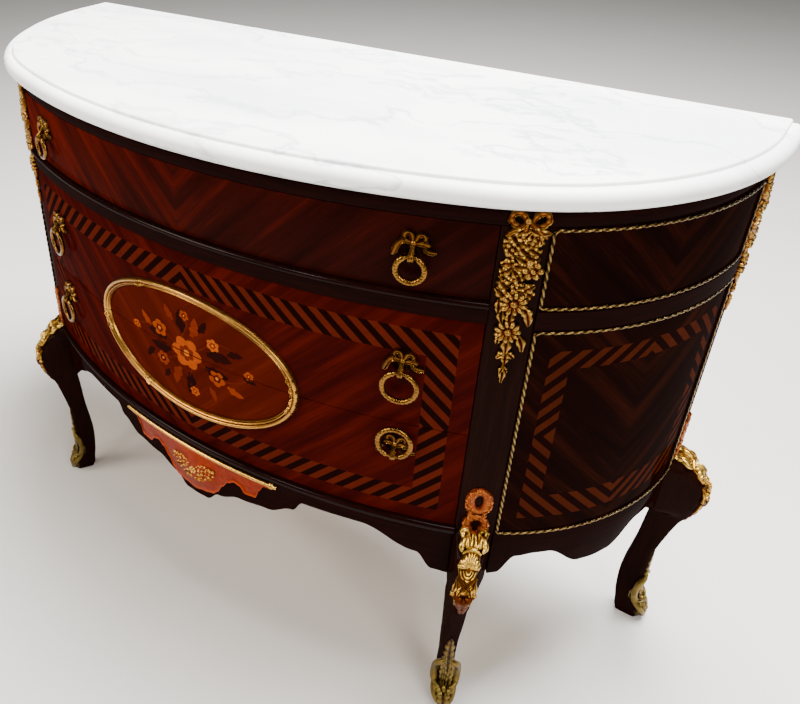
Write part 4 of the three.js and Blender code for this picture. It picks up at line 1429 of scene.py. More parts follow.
@dataclass(frozen=True)
class Strip:
    """A chased strip with a flat back: a leaf, scroll, ribbon or stem.

    Lengths are in millimetres. The spine's points are (across, up, lift), and widths is a table of
    half widths by their share of the length.
    """

    spine: Table
    widths: Table
    relief: float
    crest: Crest = Crest.LEAF
    lobes: int = 0
    steps: int = 10
    closed: bool = False
    solid: bool = True

    BACK = 0.94
    STEEP = 0.001
    NOTCH = 0.34
    DIP = 0.3

    def build(self, name: str) -> Piece:
        """Makes the strip lying flat."""
        knots = [Vector((*point, 0)[:3]) * MM for point in self.spine]
        line = curve_through(knots, self.steps, self.closed)
        size = len(line)
        backs = len(self.crest.value)
        loop = [*self.crest.value, (self.BACK, 0.0), (-self.BACK, 0.0)]
        widest = max(width for _, width in self.widths)

        def at(column: int) -> Vector:
            """Returns the spine's point at a column."""
            return line[column % size if self.closed else min(max(column, 0), size - 1)]

        def place(column: int, row: int) -> Vector:
            """Places one vertex of the strip."""
            share = column / self.steps
            ahead = (at(column + 1) - at(column - 1)).normalized()
            side = Vector((ahead.y, -ahead.x, 0))
            side = side.normalized() if side.length > self.STEEP else Vector((1, 0, 0))
            index = row % len(loop)
            across, up = loop[index]
            width = eased(self.widths, share)
            notch = 1 - abs(math.cos(math.pi * self.lobes * share)) if self.lobes else 0.0
            reach = width * (1 - self.NOTCH * notch * abs(across)) * MM
            point = at(column) + side * across * reach
            if index < backs:
                height = self.relief * up * math.sqrt(width / widest) * (1 - self.DIP * notch)
                return point + side.cross(ahead) * height * MM
            return Vector((point.x, point.y, 0.0)) if self.solid else point

        return wrapped_grid(name, self.steps, len(loop), place)


@dataclass(frozen=True)
class Blossom:
    """A round flower with a raised middle, or a boss where it has no petals. In millimetres."""

    across: float
    up: float
    radius: float
    relief: float
    petals: int = 8
    turn: float = 0.0
    lift: float = 0.0

    PETAL = (
        (0, 1.0), (0.14, 0.95), (0.26, 0.6), (0.34, 0.42), (0.62, 0.88), (0.86, 0.8), (1, 0.35),
        (1, 0),
    )
    BOSS = ((0, 1.0), (0.3, 0.95), (0.58, 0.81), (0.8, 0.6), (0.94, 0.34), (1, 0))
    EYE = 0.3
    NOTCH = 0.24
    DIP = 0.45

    def build(self, name: str) -> Piece:
        """Makes the flower lying flat."""
        profile = self.PETAL if self.petals else self.BOSS
        columns = max(self.petals * 6, 12)

        def place(column: int, row: int) -> Vector:
            """Places one vertex of the flower."""
            share, up = profile[row]
            turn = math.tau * (column % columns) / columns
            petalled = self.petals and share > self.EYE
            lobe = abs(math.cos(turn * self.petals / 2)) if petalled else 1.0
            reach = self.radius * share * (1 - self.NOTCH + self.NOTCH * lobe)
            height = self.lift * (up > 0) + self.relief * up * (1 - self.DIP + self.DIP * lobe)
            angle = turn + self.turn
            across, rise = reach * math.cos(angle), reach * math.sin(angle)
            return Vector((self.across + across, self.up + rise, height)) * MM

        return wrapped_grid(name, columns, len(profile) - 1, place)


Bit = Strip | Blossom

# A leaf's knots by their share of its length, and its width at its foot and near its tip
LEAF_KNOTS = (0, 0.35, 0.7, 1)
LEAF_FOOT = 0.35
LEAF_SHOULDER = 0.64


def spread(most: float, steps: int) -> list[float]:
    """Returns even angles from one side to the other, up to this many degrees off upright."""
    return [math.radians(between(-most, most, k / steps)) for k in range(steps + 1)]


def leaf(
    across: float, up: float, turn: float, length: float, width: float, bend: float = 0.0,
    relief: float = 3.0, lift: float = 0.0, lobes: int = 3, tip: float = 0.1,
) -> Strip:
    """Draws a leaf from its foot.

    Args:
        across: place of its foot.
        up: height of its foot.
        turn: degrees that it heads away from upwards, clockwise.
        length: its length.
        width: its half width.
        bend: how far it curves to its right, as a share of its length.
        relief: its height above its back.
        lift: how far its tip stands out.
        lobes: how many lobes each of its edges has.
        tip: how blunt it ends, as a share of its half width.

    Returns:
        The leaf.
    """
    angle = math.radians(turn)
    ahead = Vector((math.sin(angle), math.cos(angle)))
    side = Vector((ahead.y, -ahead.x))
    spine = []
    for share in LEAF_KNOTS:
        flat = Vector((across, up)) + (ahead * share + side * bend * share * share) * length
        spine.append((flat.x, flat.y, lift * share))
    foot, shoulder = width * LEAF_FOOT, width * between(LEAF_SHOULDER, 1.0, tip)
    widths = ((0, foot), (0.38, width), (0.78, shoulder), (1, width * tip))
    return Strip(tuple(spine), widths, relief, Crest.LEAF, lobes, max(lobes * 4, 8))


def crest_tagged(piece: Piece, lifts: Sequence[float] = ()) -> Piece:
    """Stores a tone for each vertex from its bulge, for the gilding to follow: painted shade in
    hollows, painted highlight and rubbed gilding on crests.

    Args:
        piece: the mount.
        lifts: each vertex's height over the mount's back, below which its recesses get painted
            shade.

    Returns:
        The mount.
    """
    mesh = piece.data
    count = len(mesh.vertices)
    places, normals = np.empty(count * 3), np.empty(count * 3)
    mesh.vertices.foreach_get("co", places)
    mesh.vertices.foreach_get("normal", normals)
    places, normals = places.reshape(-1, 3), normals.reshape(-1, 3)
    pairs = np.empty(len(mesh.edges) * 2, dtype=np.int64)
    mesh.edges.foreach_get("vertices", pairs)
    first, last = pairs[0::2], pairs[1::2]
    gap = places[first] - places[last]
    length = np.maximum(np.linalg.norm(gap, axis=1), MERGE_DISTANCE)
    shares, degree = np.zeros(count), np.zeros(count)
    np.add.at(shares, first, (gap * normals[first]).sum(axis=1) / length)
    np.add.at(shares, last, -(gap * normals[last]).sum(axis=1) / length)
    np.add.at(degree, pairs, 1)
    shares /= np.maximum(degree, 1)
    around = np.zeros(count)
    np.add.at(around, first, shares[last])
    np.add.at(around, last, shares[first])
    shares = (shares + around / np.maximum(degree, 1)) / 2
    # Bulges lighten and hollows darken: painted highlight and painted shade, with rubbed gilding on
    # crests
    relief = np.clip(FLAT_TONE + CURVE_SHADE_AND_WEAR_GAIN * shares, 0, 1)
    # Low parts get painted shade, darkest at the back
    if len(lifts):
        depth = np.clip(np.array(lifts) / PAINTED_SHADE_DEPTH, 0, 1)
        relief *= PAINTED_SHADE_TONE + (1 - PAINTED_SHADE_TONE) * depth * depth
    return tagged(piece, "relief", relief)


def chased(name: str, bits: Sequence[Bit], host: Host) -> Piece:
    """Models a mount's bits flat, joins them and bends them on to what carries them."""
    parts = [bit.build(f"{name}_{i}") for i, bit in enumerate(bits)]
    whole = joined(name, parts)
    # Heights over the back, so that low parts get painted shade
    lifts = [vertex.co.z for vertex in whole.data.vertices]
    return crest_tagged(smoothed(bent_onto(whole, host), MOUNT_SMOOTH), lifts)


def on_case(s: float, z: float) -> Host:
    """Returns a host that carries a mount on the case, round a place and a height."""
    return lambda across, up, lift: PLAN.point(s + across, lift, z + up)


def on_leg(form: LegForm, share: float) -> Host:
    """Returns a host that carries a mount on a right leg, narrowed to a share of its width."""
    return lambda across, up, lift: form.surface(across * share, up, lift)


def on_front(s: float, z: float) -> Host:
    """Returns a host that carries a small mount set flat against the front."""
    out_way = ahead_of(PLAN.heading(s)).to_3d()
    across_way = Vector((-out_way.y, out_way.x, 0))
    base = PLAN.point(s, 0, z)
    return lambda across, up, lift: base + across_way * across + out_way * lift + Vector((0, 0, up))


@dataclass(frozen=True)
class Pull:
    """Ribbon bows and the wreath rings that hang from them."""

    place: float = 323.973 * MM
    hinge: float = 11.0
    tube: float = 4.0
    pin: float = 2.0
    bore: float = 2.4
    knuckle: float = 4.4
    knuckle_half: float = 3.0
    lean: float = math.radians(-4)
    leaves: int = 13
    leaf_slant: float = 0.22
    leaf_foot: float = 0.88
    leaf_rise: float = 0.13
    ring_steps: int = 130
    ring_sides: int = 12
    barrel_sides: int = 20
    barrel_edge: float = 0.5
    neck_sink: float = 0.6
    rows: tuple[tuple[str, float, float], ...] = (
        ("upper", 780 * MM, 41.0), ("middle", 618 * MM, 51.0), ("lower", 484 * MM, 51.0),
    )

    def bow_bits(self) -> list[Bit]:
        """Returns the bow's loops, tails, folds, knot and strap."""
        loop = ((0, 2.2), (0.15, 3.3), (0.5, 3.1), (0.85, 3.3), (1, 2.2))
        tail = ((0, 2.4), (0.4, 3.8), (0.8, 4.4), (1, 2.4))
        left = (
            (-1, 15.5, 2), (-0.8, 20.5, 2), (-2.6, 26.4, 2.4), (-6.6, 28.2, 2.4), (-10.2, 25, 2),
            (-9.6, 20.4, 2), (-5.5, 17, 2), (-1.5, 15, 2),
        )
        right = (
            (1.5, 15, 2), (3.6, 19.6, 2), (6, 25.2, 2.4), (10, 26.6, 2.4), (13.4, 23.2, 2),
            (12.4, 18.8, 2), (8, 16, 2), (2.5, 14.6, 2),
        )
        return [
            Strip(left, loop, 4, Crest.RIBBON, 0, 26),
            Strip(right, loop, 4, Crest.RIBBON, 0, 26),
            Strip(
                (
                    (-1, 14, 2), (-7, 17, 2.6), (-12.5, 16.6, 2.8), (-17.5, 11, 2.4),
                    (-20, 3.4, 1.6), (-22.6, -3.6, 0.6),
                ),
                tail, 3.8, Crest.RIBBON, 0, 20,
            ),
            Strip(
                ((1, 13.5, 2), (8, 15.4, 2.4), (15.5, 15, 2.6), (18, 11.5, 1.4)), tail, 3.8,
                Crest.RIBBON, 0, 14,
            ),
            Strip(
                ((17.5, 12.5, 0.6), (13.4, 9.2, 1), (18, 6.4, 2), (26.5, 5, 0.8)),
                ((0, 2), (0.4, 3), (0.8, 3.4), (1, 1.8)), 3.6, Crest.RIBBON, 0, 14,
            ),
            Strip(
                ((-2, 14), (-6, 8, 1.5), (-6.4, -0.5, 0.5)), ((0, 2), (0.5, 3.4), (1, 3)), 3.8,
                Crest.FLUTED, 0, 8,
            ),
            Strip(
                ((2, 14), (7.5, 8, 1.5), (9.6, 1.6, 0.5)), ((0, 2), (0.5, 3.2), (1, 2.8)), 3.8,
                Crest.FLUTED, 0, 8,
            ),
            Blossom(0.4, 15, 4.6, 6.6, 0),
            Strip(
                (
                    (0, 16, 4.5), (0, 10.5, 7.5), (0, 5.5, 12), (0, 1, 15.3), (0, -3.2, 14.3),
                    (0, -5.1, 10.8), (0, -5.3, 6), (0, -5.4, 1),
                ),
                ((0, 2.6), (0.5, 3.3), (0.72, 3.4), (1, 3)), 1.3, Crest.FLUTED, 0, 18, solid=False,
            ),
        ]

    def knuckle_piece(self) -> Piece:
        """Makes the bored knuckle that the pin turns in, and its neck."""
        outer = self.knuckle - self.barrel_edge
        # Each corner of the barrel's section as its radius and its share of the half length
        profile = [(self.bore, -1), (outer, -1), (self.knuckle, -0.84)]
        profile += [(radius, -along) for radius, along in reversed(profile)]
        columns, rows = self.barrel_sides, len(profile)

        def place(column: int, row: int) -> Vector:
            """Places one vertex round the bore."""
            radius, along = profile[row % rows]
            turn = math.tau * (column % columns) / columns
            across, up = radius * math.cos(turn), self.hinge + radius * math.sin(turn)
            return Vector((along * self.knuckle_half, across, up)) * MM

        barrel = wrapped_grid("knuckle_barrel", columns, rows, place)
        height = self.hinge - self.knuckle + self.neck_sink
        deselect_all()
        bpy.ops.mesh.primitive_cube_add(size=1, location=(0, 0, height / 2 * MM))
        neck = named(bpy.context.active_object, "knuckle_neck")
        size = Vector((2 * self.knuckle_half, 2 * self.knuckle, height)) * MM
        bpy.ops.transform.resize(value=size)
        bpy.ops.object.transform_apply(location=True, rotation=True, scale=True)
        return joined("knuckle", [barrel, bevelled(neck, self.barrel_edge * MM)])

    def wreath(self, name: str, outer: float, raised: bool) -> Piece:
        """Makes a ring of overlapping leaves, flat, with its pin along the hinge."""
        pitch = outer / 2 - self.tube
        pin_half = self.knuckle_half + self.tube - self.pin
        start = math.asin(pin_half / pitch)
        way = -1 if raised else 1
        tilt = Matrix.Rotation(self.lean if raised else 0.0, 3, "X")
        route = [(-pin_half / 2, 0.0, 0.0), (pin_half / 2, 0.0, 0.0)]
        for k in range(self.ring_steps - 1):
            angle = between(start, math.tau - start, k / (self.ring_steps - 2))
            drop = pitch * (math.cos(angle) - math.cos(start))
            route.append((pitch * math.sin(angle), drop, angle))

        def place(column: int, row: int) -> Vector:
            """Places one vertex of the ring."""
            size = len(route)
            x, y, angle = route[column % size]
            before, after = route[(column - 1) % size], route[(column + 1) % size]
            ahead = Vector((after[0] - before[0], after[1] - before[1])).normalized()
            turn = math.tau * (row % self.ring_sides) / self.ring_sides
            from_top = min(angle, math.tau - angle)
            swell = smooth((from_top - start) / start) if angle else 0.0
            leaf_place = from_top / math.pi * self.leaves + self.leaf_slant * math.cos(2 * turn)
            thick = self.tube * (self.leaf_foot + self.leaf_rise * (leaf_place % 1))
            radius = between(self.pin, thick, swell)
            side, out = radius * math.cos(turn), radius * math.sin(turn)
            point = tilt @ Vector((x + ahead.y * side, (y - ahead.x * side) * way, out))
            return (point + Vector((0, 0, self.hinge))) * MM

        return wrapped_grid(name, len(route), self.ring_sides, place)

    def build(self) -> None:
        """Makes the six bows, modelled once and copied, and a ring for each."""
        parts = [bit.build(f"bow_bit_{i}") for i, bit in enumerate(self.bow_bits())]
        bow = joined("bow_pattern", [*parts, self.knuckle_piece()])
        for word, z, outer in self.rows:
            for side in Side:
                place = f"{word}_{side.word}"
                host = on_front(side.value * self.place, z)
                piece = bent_onto(copied(bow, "ribbon_bow_" + place), host)
                piece = crest_tagged(smoothed(piece, MOUNT_SMOOTH))
                finished(piece, RING_GILT, f"{word}_drawer", f"{word}_bow_{side.word}")
                raised = word == "lower" and side is Side.RIGHT
                ring = bent_onto(self.wreath("wreath_ring_" + place, outer, raised), host)
                node = f"{word}_ring_{side.word}"
                finished(crest_tagged(smoothed(ring, RING_SMOOTH)), RING_GILT, node, node)
        removed(bow)


@dataclass(frozen=True)
class OvalFrame:
    """Reeded oval round the flowers, in two halves, with leaves wrapped over it."""

    half_width: float = 183.0
    half_height: float = 101.0
    steps: int = 120
    wrap: float = 9.0
    wrap_reach: float = 1.7
    band_reach: float = 0.45
    wrap_lift: float = 3.6
    wrap_lap: float = 0.2
    tip: float = math.radians(0.6)
    wrap_places: tuple[tuple[str, int, tuple[float, ...]], ...] = (
        ("middle", 1, (62, 166, 175)), ("lower", -1, (5, 15, 62, 165, 175)),
    )
    profile: Table = (
        (-6.5, 0), (-6.1, 3.2), (-5, 5.4), (-3.4, 6.6), (-1.6, 6.4), (-0.2, 4.6), (0.5, 2.6),
        (1.2, 3.8), (2.2, 5), (3.2, 4.6), (3.9, 2.8), (4.3, 2.2), (4.9, 3), (5.6, 3.2), (6.2, 2.2),
        (6.5, 0),
    )

    def point(self, angle: float, out: float) -> Pair:
        """Returns a point of the oval in millimetres, moved outwards by a length."""
        x, y = -self.half_width * math.cos(angle), self.half_height * math.sin(angle)
        away = Vector((x / self.half_width**2, y / self.half_height**2)).normalized()
        return x + away.x * out, y + away.y * out

    def reeds(self) -> Piece:
        """Makes the upper half's reeded band, flat."""
        rows = len(self.profile)

        def place(column: int, row: int) -> Vector:
            """Places one vertex of the band."""
            across, lift = self.profile[row % rows]
            x, y = self.point(math.pi * column / self.steps, -across)
            return Vector((x, y, lift)) * MM

        return wrapped_grid("oval_reeds", self.steps, rows, place)

    def wraps(self, places: Sequence[float]) -> list[Strip]:
        """Returns the leaves that are wrapped over the band at these angles."""
        bits = []
        spread = self.wrap / self.half_width
        for angle in map(math.radians, places):
            for way in (-1, 1, 0):
                if way:
                    first, last = angle, angle + way * spread * self.wrap_reach
                    widths = ((0, 5.6), (0.5, 6.2), (0.85, 4), (1, 1.2))
                    relief, crest, lobes = 3.8, Crest.LEAF, 3
                else:
                    half = spread * self.band_reach
                    first, last = angle - half, angle + half
                    widths = ((0, 5.8), (0.5, 6.4), (1, 5.8))
                    relief, crest, lobes = 4.2, Crest.FLUTED, 0
                first, last = (min(max(end, self.tip), math.pi - self.tip) for end in (first, last))
                lift = self.wrap_lift + way * self.wrap_lap
                angles = [between(first, last, k / 3) for k in range(4)]
                spine = tuple((*self.point(along, 0), lift) for along in angles)
                bits.append(Strip(spine, widths, relief, crest, lobes, 12))
        return bits

    def build(self) -> None:
        """Makes the two halves, which part at the seam."""
        band = self.reeds()
        for word, way, places in self.wrap_places:
            parts = [bit.build(f"oval_wrap_{i}") for i, bit in enumerate(self.wraps(places))]
            half = joined(f"reeded_oval_{word}", [copied(band, "oval_half"), *parts])
            moved(half, Matrix.Scale(way, 4, (0, 1, 0)))
            host = on_case(0, CASE.seam + way * CASE.drawer_gap / 2)
            half = crest_tagged(smoothed(bent_onto(half, host), OVAL_SMOOTH))
            finished(half, OVAL_GILT, f"{word}_drawer", f"{word}_oval_frame")
        removed(band)


@dataclass(frozen=True)
class RopeBorder:
    """Twisted rope round the two fields of each end panel."""

    half: float = 2.3 * MM
    relief: float = 3.2 * MM
    twist: float = 22 * MM
    step: float = 1.9 * MM
    rows: int = 12
    bend: float = 5 * MM
    bend_steps: int = 4
    # Radius of the hollow between strands, and lift of the rope's middle, as shares
    hollow: float = 0.4
    middle: float = 0.8
    rise: float = 1.2
    # Scale of the rope's distance off the panel, from which its painted shade is set
    bright: float = 1.1

    def route(self, low: float, high: float) -> list[Pair]:
        """Returns the rope's path as (s, z), with its corners turned on a small bend."""
        inset = self.half + CASE.seat
        start, end = CASE.stile_end + CASE.seat + inset, CASE.rear_start - CASE.seat - inset
        low, high = low + inset, high - inset
        corners = [(start, low, 180), (end, low, 270), (end, high, 0), (start, high, 90)]
        points: list[Pair] = []
        for s, z, turn in corners:
            inner_s = s + math.copysign(self.bend, (start + end) / 2 - s)
            inner_z = z + math.copysign(self.bend, (low + high) / 2 - z)
            for k in range(self.bend_steps + 1):
                angle = math.radians(turn + 90 * k / self.bend_steps)
                across, up = self.bend * math.cos(angle), self.bend * math.sin(angle)
                points.append((inner_s + across, inner_z + up))
        return points

    def build(self) -> None:
        """Makes the two ropes of each end."""
        fields = (
            ("upper", CASE_WOOD.end_band[1], CASE.board_bottom - CASE.seat),
            ("lower", CASE_WOOD.end_foot, CASE_WOOD.end_band[0]),
        )
        for word, low, high in fields:
            corners = [Vector(point) for point in self.route(low, high)]
            line: list[Vector] = []
            for i, corner in enumerate(corners):
                after = corners[(i + 1) % len(corners)]
                pieces = max(round((after - corner).length / self.step), 1)
                line.extend(corner.lerp(after, k / pieces) for k in range(pieces))
            lengths = [0.0]
            for i in range(len(line)):
                lengths.append(lengths[-1] + (line[(i + 1) % len(line)] - line[i]).length)
            turns = round(lengths[-1] / self.twist)

            def place(column: int, row: int) -> Vector:
                """Places one vertex of the rope."""
                size = len(line)
                ahead = (line[(column + 1) % size] - line[(column - 1) % size]).normalized()
                turn = math.tau * (row % self.rows) / self.rows
                phase = math.tau * turns * lengths[column % size] / lengths[-1]
                radius = between(self.hollow, 1.0, abs(math.cos(turn - phase)))
                across = self.half * radius * math.cos(turn)
                lift = self.relief / 2 * (self.middle + radius * self.rise * math.sin(turn))
                flat = line[column % size] + Vector((ahead.y, -ahead.x)) * across
                return PLAN.point(flat.x, max(lift, 0.0), flat.y)

            name = f"twisted_rope_{word}_right"
            rope = smoothed(wrapped_grid(name, len(line), self.rows, place))
            # Painted shade darkens the rope where it lies close to the panel
            lifts = [PLAN.place_of(vertex.co).y * self.bright for vertex in rope.data.vertices]
            crest_tagged(rope, lifts)
            finished_pair(rope, ROPE_GILT, f"{word}_rope")


@dataclass(frozen=True)
class ApronMount:
    """Copper coloured plate with a gilt bar over it and a sprig on its swelling. In millimetres."""

    half: float = 149.0
    top: float = 353.0
    drop: float = 88.0
    bar_height: float = 8.0
    plate: float = 2.6
    swell: float = 5.0
    swell_share: float = 0.42
    berries: Table = (
        (9, -31), (12, -38), (11, -47), (17, -27), (19, -35), (18, -43), (17, -51), (25, -24),
        (27, -32), (26, -40), (25, -49), (33, -26), (34, -34), (32, -42), (40, -27), (41, -35),
        (5, -56), (12, -57),
    )
    berry: float = 1.6
    berry_growth: float = 0.6
    berry_fall: float = 25.0
    rim: float = 3.5
    rim_lift: float = 1.2
    plate_steps: int = 110
    plate_rows: int = 12
    shares: Table = (
        (0, 1), (0.13, 0.95), (0.25, 0.9), (0.31, 0.8), (0.38, 0.6), (0.46, 0.43), (0.54, 0.35),
        (0.61, 0.38), (0.67, 0.5), (0.8, 0.48), (0.84, 0.28), (0.9, 0.13), (1, 0.12),
    )

    def plate_piece(self) -> Piece:
        """Makes the plate, swollen in its middle and with a rim along its foot."""
        columns, rows = self.plate_steps, self.plate_rows
        top = self.top - self.bar_height / 2

        def place(column: int, row: int) -> Vector:
            """Places one vertex of the plate: its front rows, then its back."""
            share = 2 * column / columns - 1
            foot = self.top - self.drop * eased(self.shares, abs(share))
            low = min(foot, self.top - self.bar_height)
            swell = self.swell * smooth(1 - abs(share) / self.swell_share)
            index = row % (rows + 2)
            if index > rows:
                return PLAN.point(self.half * share * MM, 0, low * MM)
            down = min(index / (rows - 1), 1.0)
            z = between(top, low, down)
            lift = 0.0 if index == rows else self.plate + swell * math.sin(math.pi * down)
            if 0 < index < rows and z - low < self.rim:
                lift += self.rim_lift
            return PLAN.point(self.half * share * MM, lift * MM, z * MM)

        return wrapped_grid("apron_plate", columns, rows + 2, place)

    def sprig_leaves(self) -> list[Strip]:
        """Returns the leaves that lie on the plate under the berries."""
        rows = (
            (5, -40, 68, 22), (5, -47, 112, 22), (8, -34, 48, 20), (22, -30, 84, 20),
            (24, -42, 100, 16), (3, -52, 150, 14),
        )
        return [
            leaf(
                way * across, up, way * turn, length, 5.6, way * 0.25,
                self.plate + self.swell + 1.2, 1.2, 3,
            )
            for way in (-1, 1) for across, up, turn, length in rows
        ]

    def sprig(self) -> list[Bit]:
        """Returns the bar with its ends, and the flower and berries of the sprig."""
        base = self.plate + self.swell - 2.4
        bar = (
            (-self.half - 3, 0, 0.2), (-self.half + 10, 0, 0.6), (0, 0, 0.6),
            (self.half - 8, 0, 0.6), (self.half, 0, 0.2),
        )
        bits: list[Bit] = [
            Strip(
                bar, ((0, 0.8), (0.06, 3.2), (0.1, 3.8), (0.95, 3.8), (1, 3.4)), 6, Crest.ROUND, 0,
                60,
            ),
            Blossom(self.half - 3, -0.5, 6.2, 7.6, 0),
            Blossom(0, -42, 7, 5, 7, lift=base),
        ]
        for i, (across, up) in enumerate(self.berries):
            radius, petals = self.berry + self.berry_growth * (i % 3), 5 if i % 3 == 2 else 0
            lift = base - across / self.berry_fall
            for way in (-1, 1):
                bits.append(Blossom(way * across, up, radius, 4.4, petals, lift=lift))
        return bits

    def build(self) -> None:
        """Makes the plate, and the gilt bar and sprig on it."""
        plate = crest_tagged(smoothed(self.plate_piece(), RING_SMOOTH))
        finished(plate, PLATE_GILT, "carcass", "apron_mount")
        host = on_case(0, (self.top - self.bar_height / 2) * MM)
        finished(chased("apron_bar_and_sprig", self.sprig(), host), BAR_GILT, "carcass")
        finished(chased("apron_sprig_leaves", self.sprig_leaves(), host), COPPER_GILT, "carcass")


@dataclass(frozen=True)
class CornerDrop:
    """Bow, leaves and daisies that hang down each stile. In millimetres from its top."""

    top: float = 848 * MM
    places: tuple[tuple[str, float], ...] = (("front", 439.973 * MM), ("rear", 829.788 * MM))
    blossoms: Table = (
        (13, -72, 12, 7.4, 6), (-12, -46, 9, 7.4, 6), (-1, -92, 7, 7, 5), (-1, -115, 16, 7.4, 11),
        (-2.4, -153, 15.4, 7.4, 11),
    )
    leaves: Table = (
        (0, -22, 232, 20, 7, 0.25), (2, -22, 118, 24, 7, -0.3), (-12, -126, 190, 16, 6, -0.3),
        (10, -120, 138, 26, 8, 0.42), (-2, -128, 184, 16, 7, 0), (-17, -112, 172, 18, 6, 0.1),
        (9, -158, 142, 24, 7, 0.35), (-9, -160, 210, 12, 5, -0.3), (-1, -164, 180, 20, 7.5, 0),
        (0, -184, 108, 12, 6, 0.35), (0, -184, 252, 12, 6, -0.35), (0, -182, 180, 17, 6.5, 0),
        (0, -202, 180, 26, 5.4, 0), (0, -204, 136, 9, 4, 0.4), (0, -204, 224, 9, 4, -0.4),
    )
    holes: Table = ((-9, -61), (17, -60), (6, -86))
    hole_reach: float = 5.0
    # Short leaves in rows of three: where the first row hangs, the pitch of rows and columns, how
    # far each may stray, and the ranges of their turns, lengths, half widths, bends and lifts
    foliage_rows: int = 9
    foliage_top: float = -31.0
    foliage_pitch: Pair = (12.4, 8.8)
    foliage_stray: Pair = (1.6, 1.8)
    foliage_taper: float = 0.3
    foliage_turns: Pair = (50, 150)
    foliage_lengths: Pair = (12.5, 15.5)
    foliage_widths: Pair = (7, 8.4)
    foliage_bends: Pair = (-0.4, 0.4)
    foliage_lifts: Pair = (0.6, 2.8)
    foliage_relief: float = 5.6
    foliage_tip: float = 0.85
    foliage_seed: int = 11

    def foliage(self) -> list[Strip]:
        """Returns the short leaves under the bow, each turned its own way, with a few gaps."""
        draw = random.Random(self.foliage_seed)
        bits = []
        stray_across, stray_up = self.foliage_stray
        for row in range(self.foliage_rows):
            for column in range(3):
                across = (column - 1) * self.foliage_pitch[0] - self.foliage_taper * row
                across += draw.uniform(-stray_across, stray_across)
                up = self.foliage_top - row * self.foliage_pitch[1]
                up += draw.uniform(-stray_up, stray_up)
                turn = (-1) ** (row + column) * draw.uniform(*self.foliage_turns)
                length = draw.uniform(*self.foliage_lengths)
                width = draw.uniform(*self.foliage_widths)
                middle, angle = Vector((across, up)), math.radians(turn)
                foot = middle - Vector((math.sin(angle), math.cos(angle))) * length / 2
                if all((middle - Vector(hole)).length > self.hole_reach for hole in self.holes):
                    bend = draw.uniform(*self.foliage_bends)
                    lift = draw.uniform(*self.foliage_lifts)
                    form = (length, width, bend, self.foliage_relief, lift, 2, self.foliage_tip)
                    bits.append(leaf(*foot, turn, *form))
        return bits

    def bits(self) -> list[Bit]:
        """Returns the drop's bow, stem, leaves and flowers."""
        ruffle = ((0, 2.8), (0.25, 4.2), (0.5, 3.8), (0.75, 4.2), (1, 2.8))
        left = (
            (-2, -16), (-4.5, -7, 1), (-10, -3, 1.5), (-16, -5.5, 1.5), (-17.5, -12, 1),
            (-12.5, -17.6, 1), (-5, -18.5),
        )
        right = tuple((3 - point[0], *point[1:]) for point in left)
        bits: list[Bit] = [
            Strip(left, ruffle, 4.2, Crest.RIBBON, 6, 28),
            Strip(right, ruffle, 4.2, Crest.RIBBON, 6, 28),
            Blossom(0, -13, 4.4, 6.4, 0),
            Strip(
                ((-1, -14), (-8, -22, 1), (-13, -24, 2), (-20, -32, 1)), ((0, 2), (0.5, 3), (1, 2)),
                3.6, Crest.RIBBON, 0, 12,
            ),
            Strip(
                ((1, -14), (8, -20, 1), (14, -26, 2), (22, -33, 1)), ((0, 2), (0.5, 3.2), (1, 2)),
                3.6, Crest.RIBBON, 0, 12,
            ),
            Strip(
                ((0, -14), (-2, -60), (1, -110), (-1, -170), (0, -214)),
                ((0, 2.4), (0.7, 2), (1, 1.4)), 2.6, Crest.ROUND, 0, 30,
            ),
        ]
        bits += self.foliage()
        bits += [
            leaf(*row, relief=4.6, lift=1.0 + 0.8 * (i % 3), lobes=2 + i % 2)
            for i, row in enumerate(self.leaves)
        ]
        bits += [
            Blossom(*row[:4], petals=int(row[4]), turn=0.3 * i, lift=1.8)
            for i, row in enumerate(self.blossoms)
        ]
        return bits

    def build(self) -> None:
        """Makes the drops of the two right stiles and mirrors them for the left."""
        for word, s in self.places:
            drop = chased(f"floral_drop_{word}_right", self.bits(), on_case(s, self.top))
            finished_pair(drop, DROP_GILT, f"{word}_corner_drop")


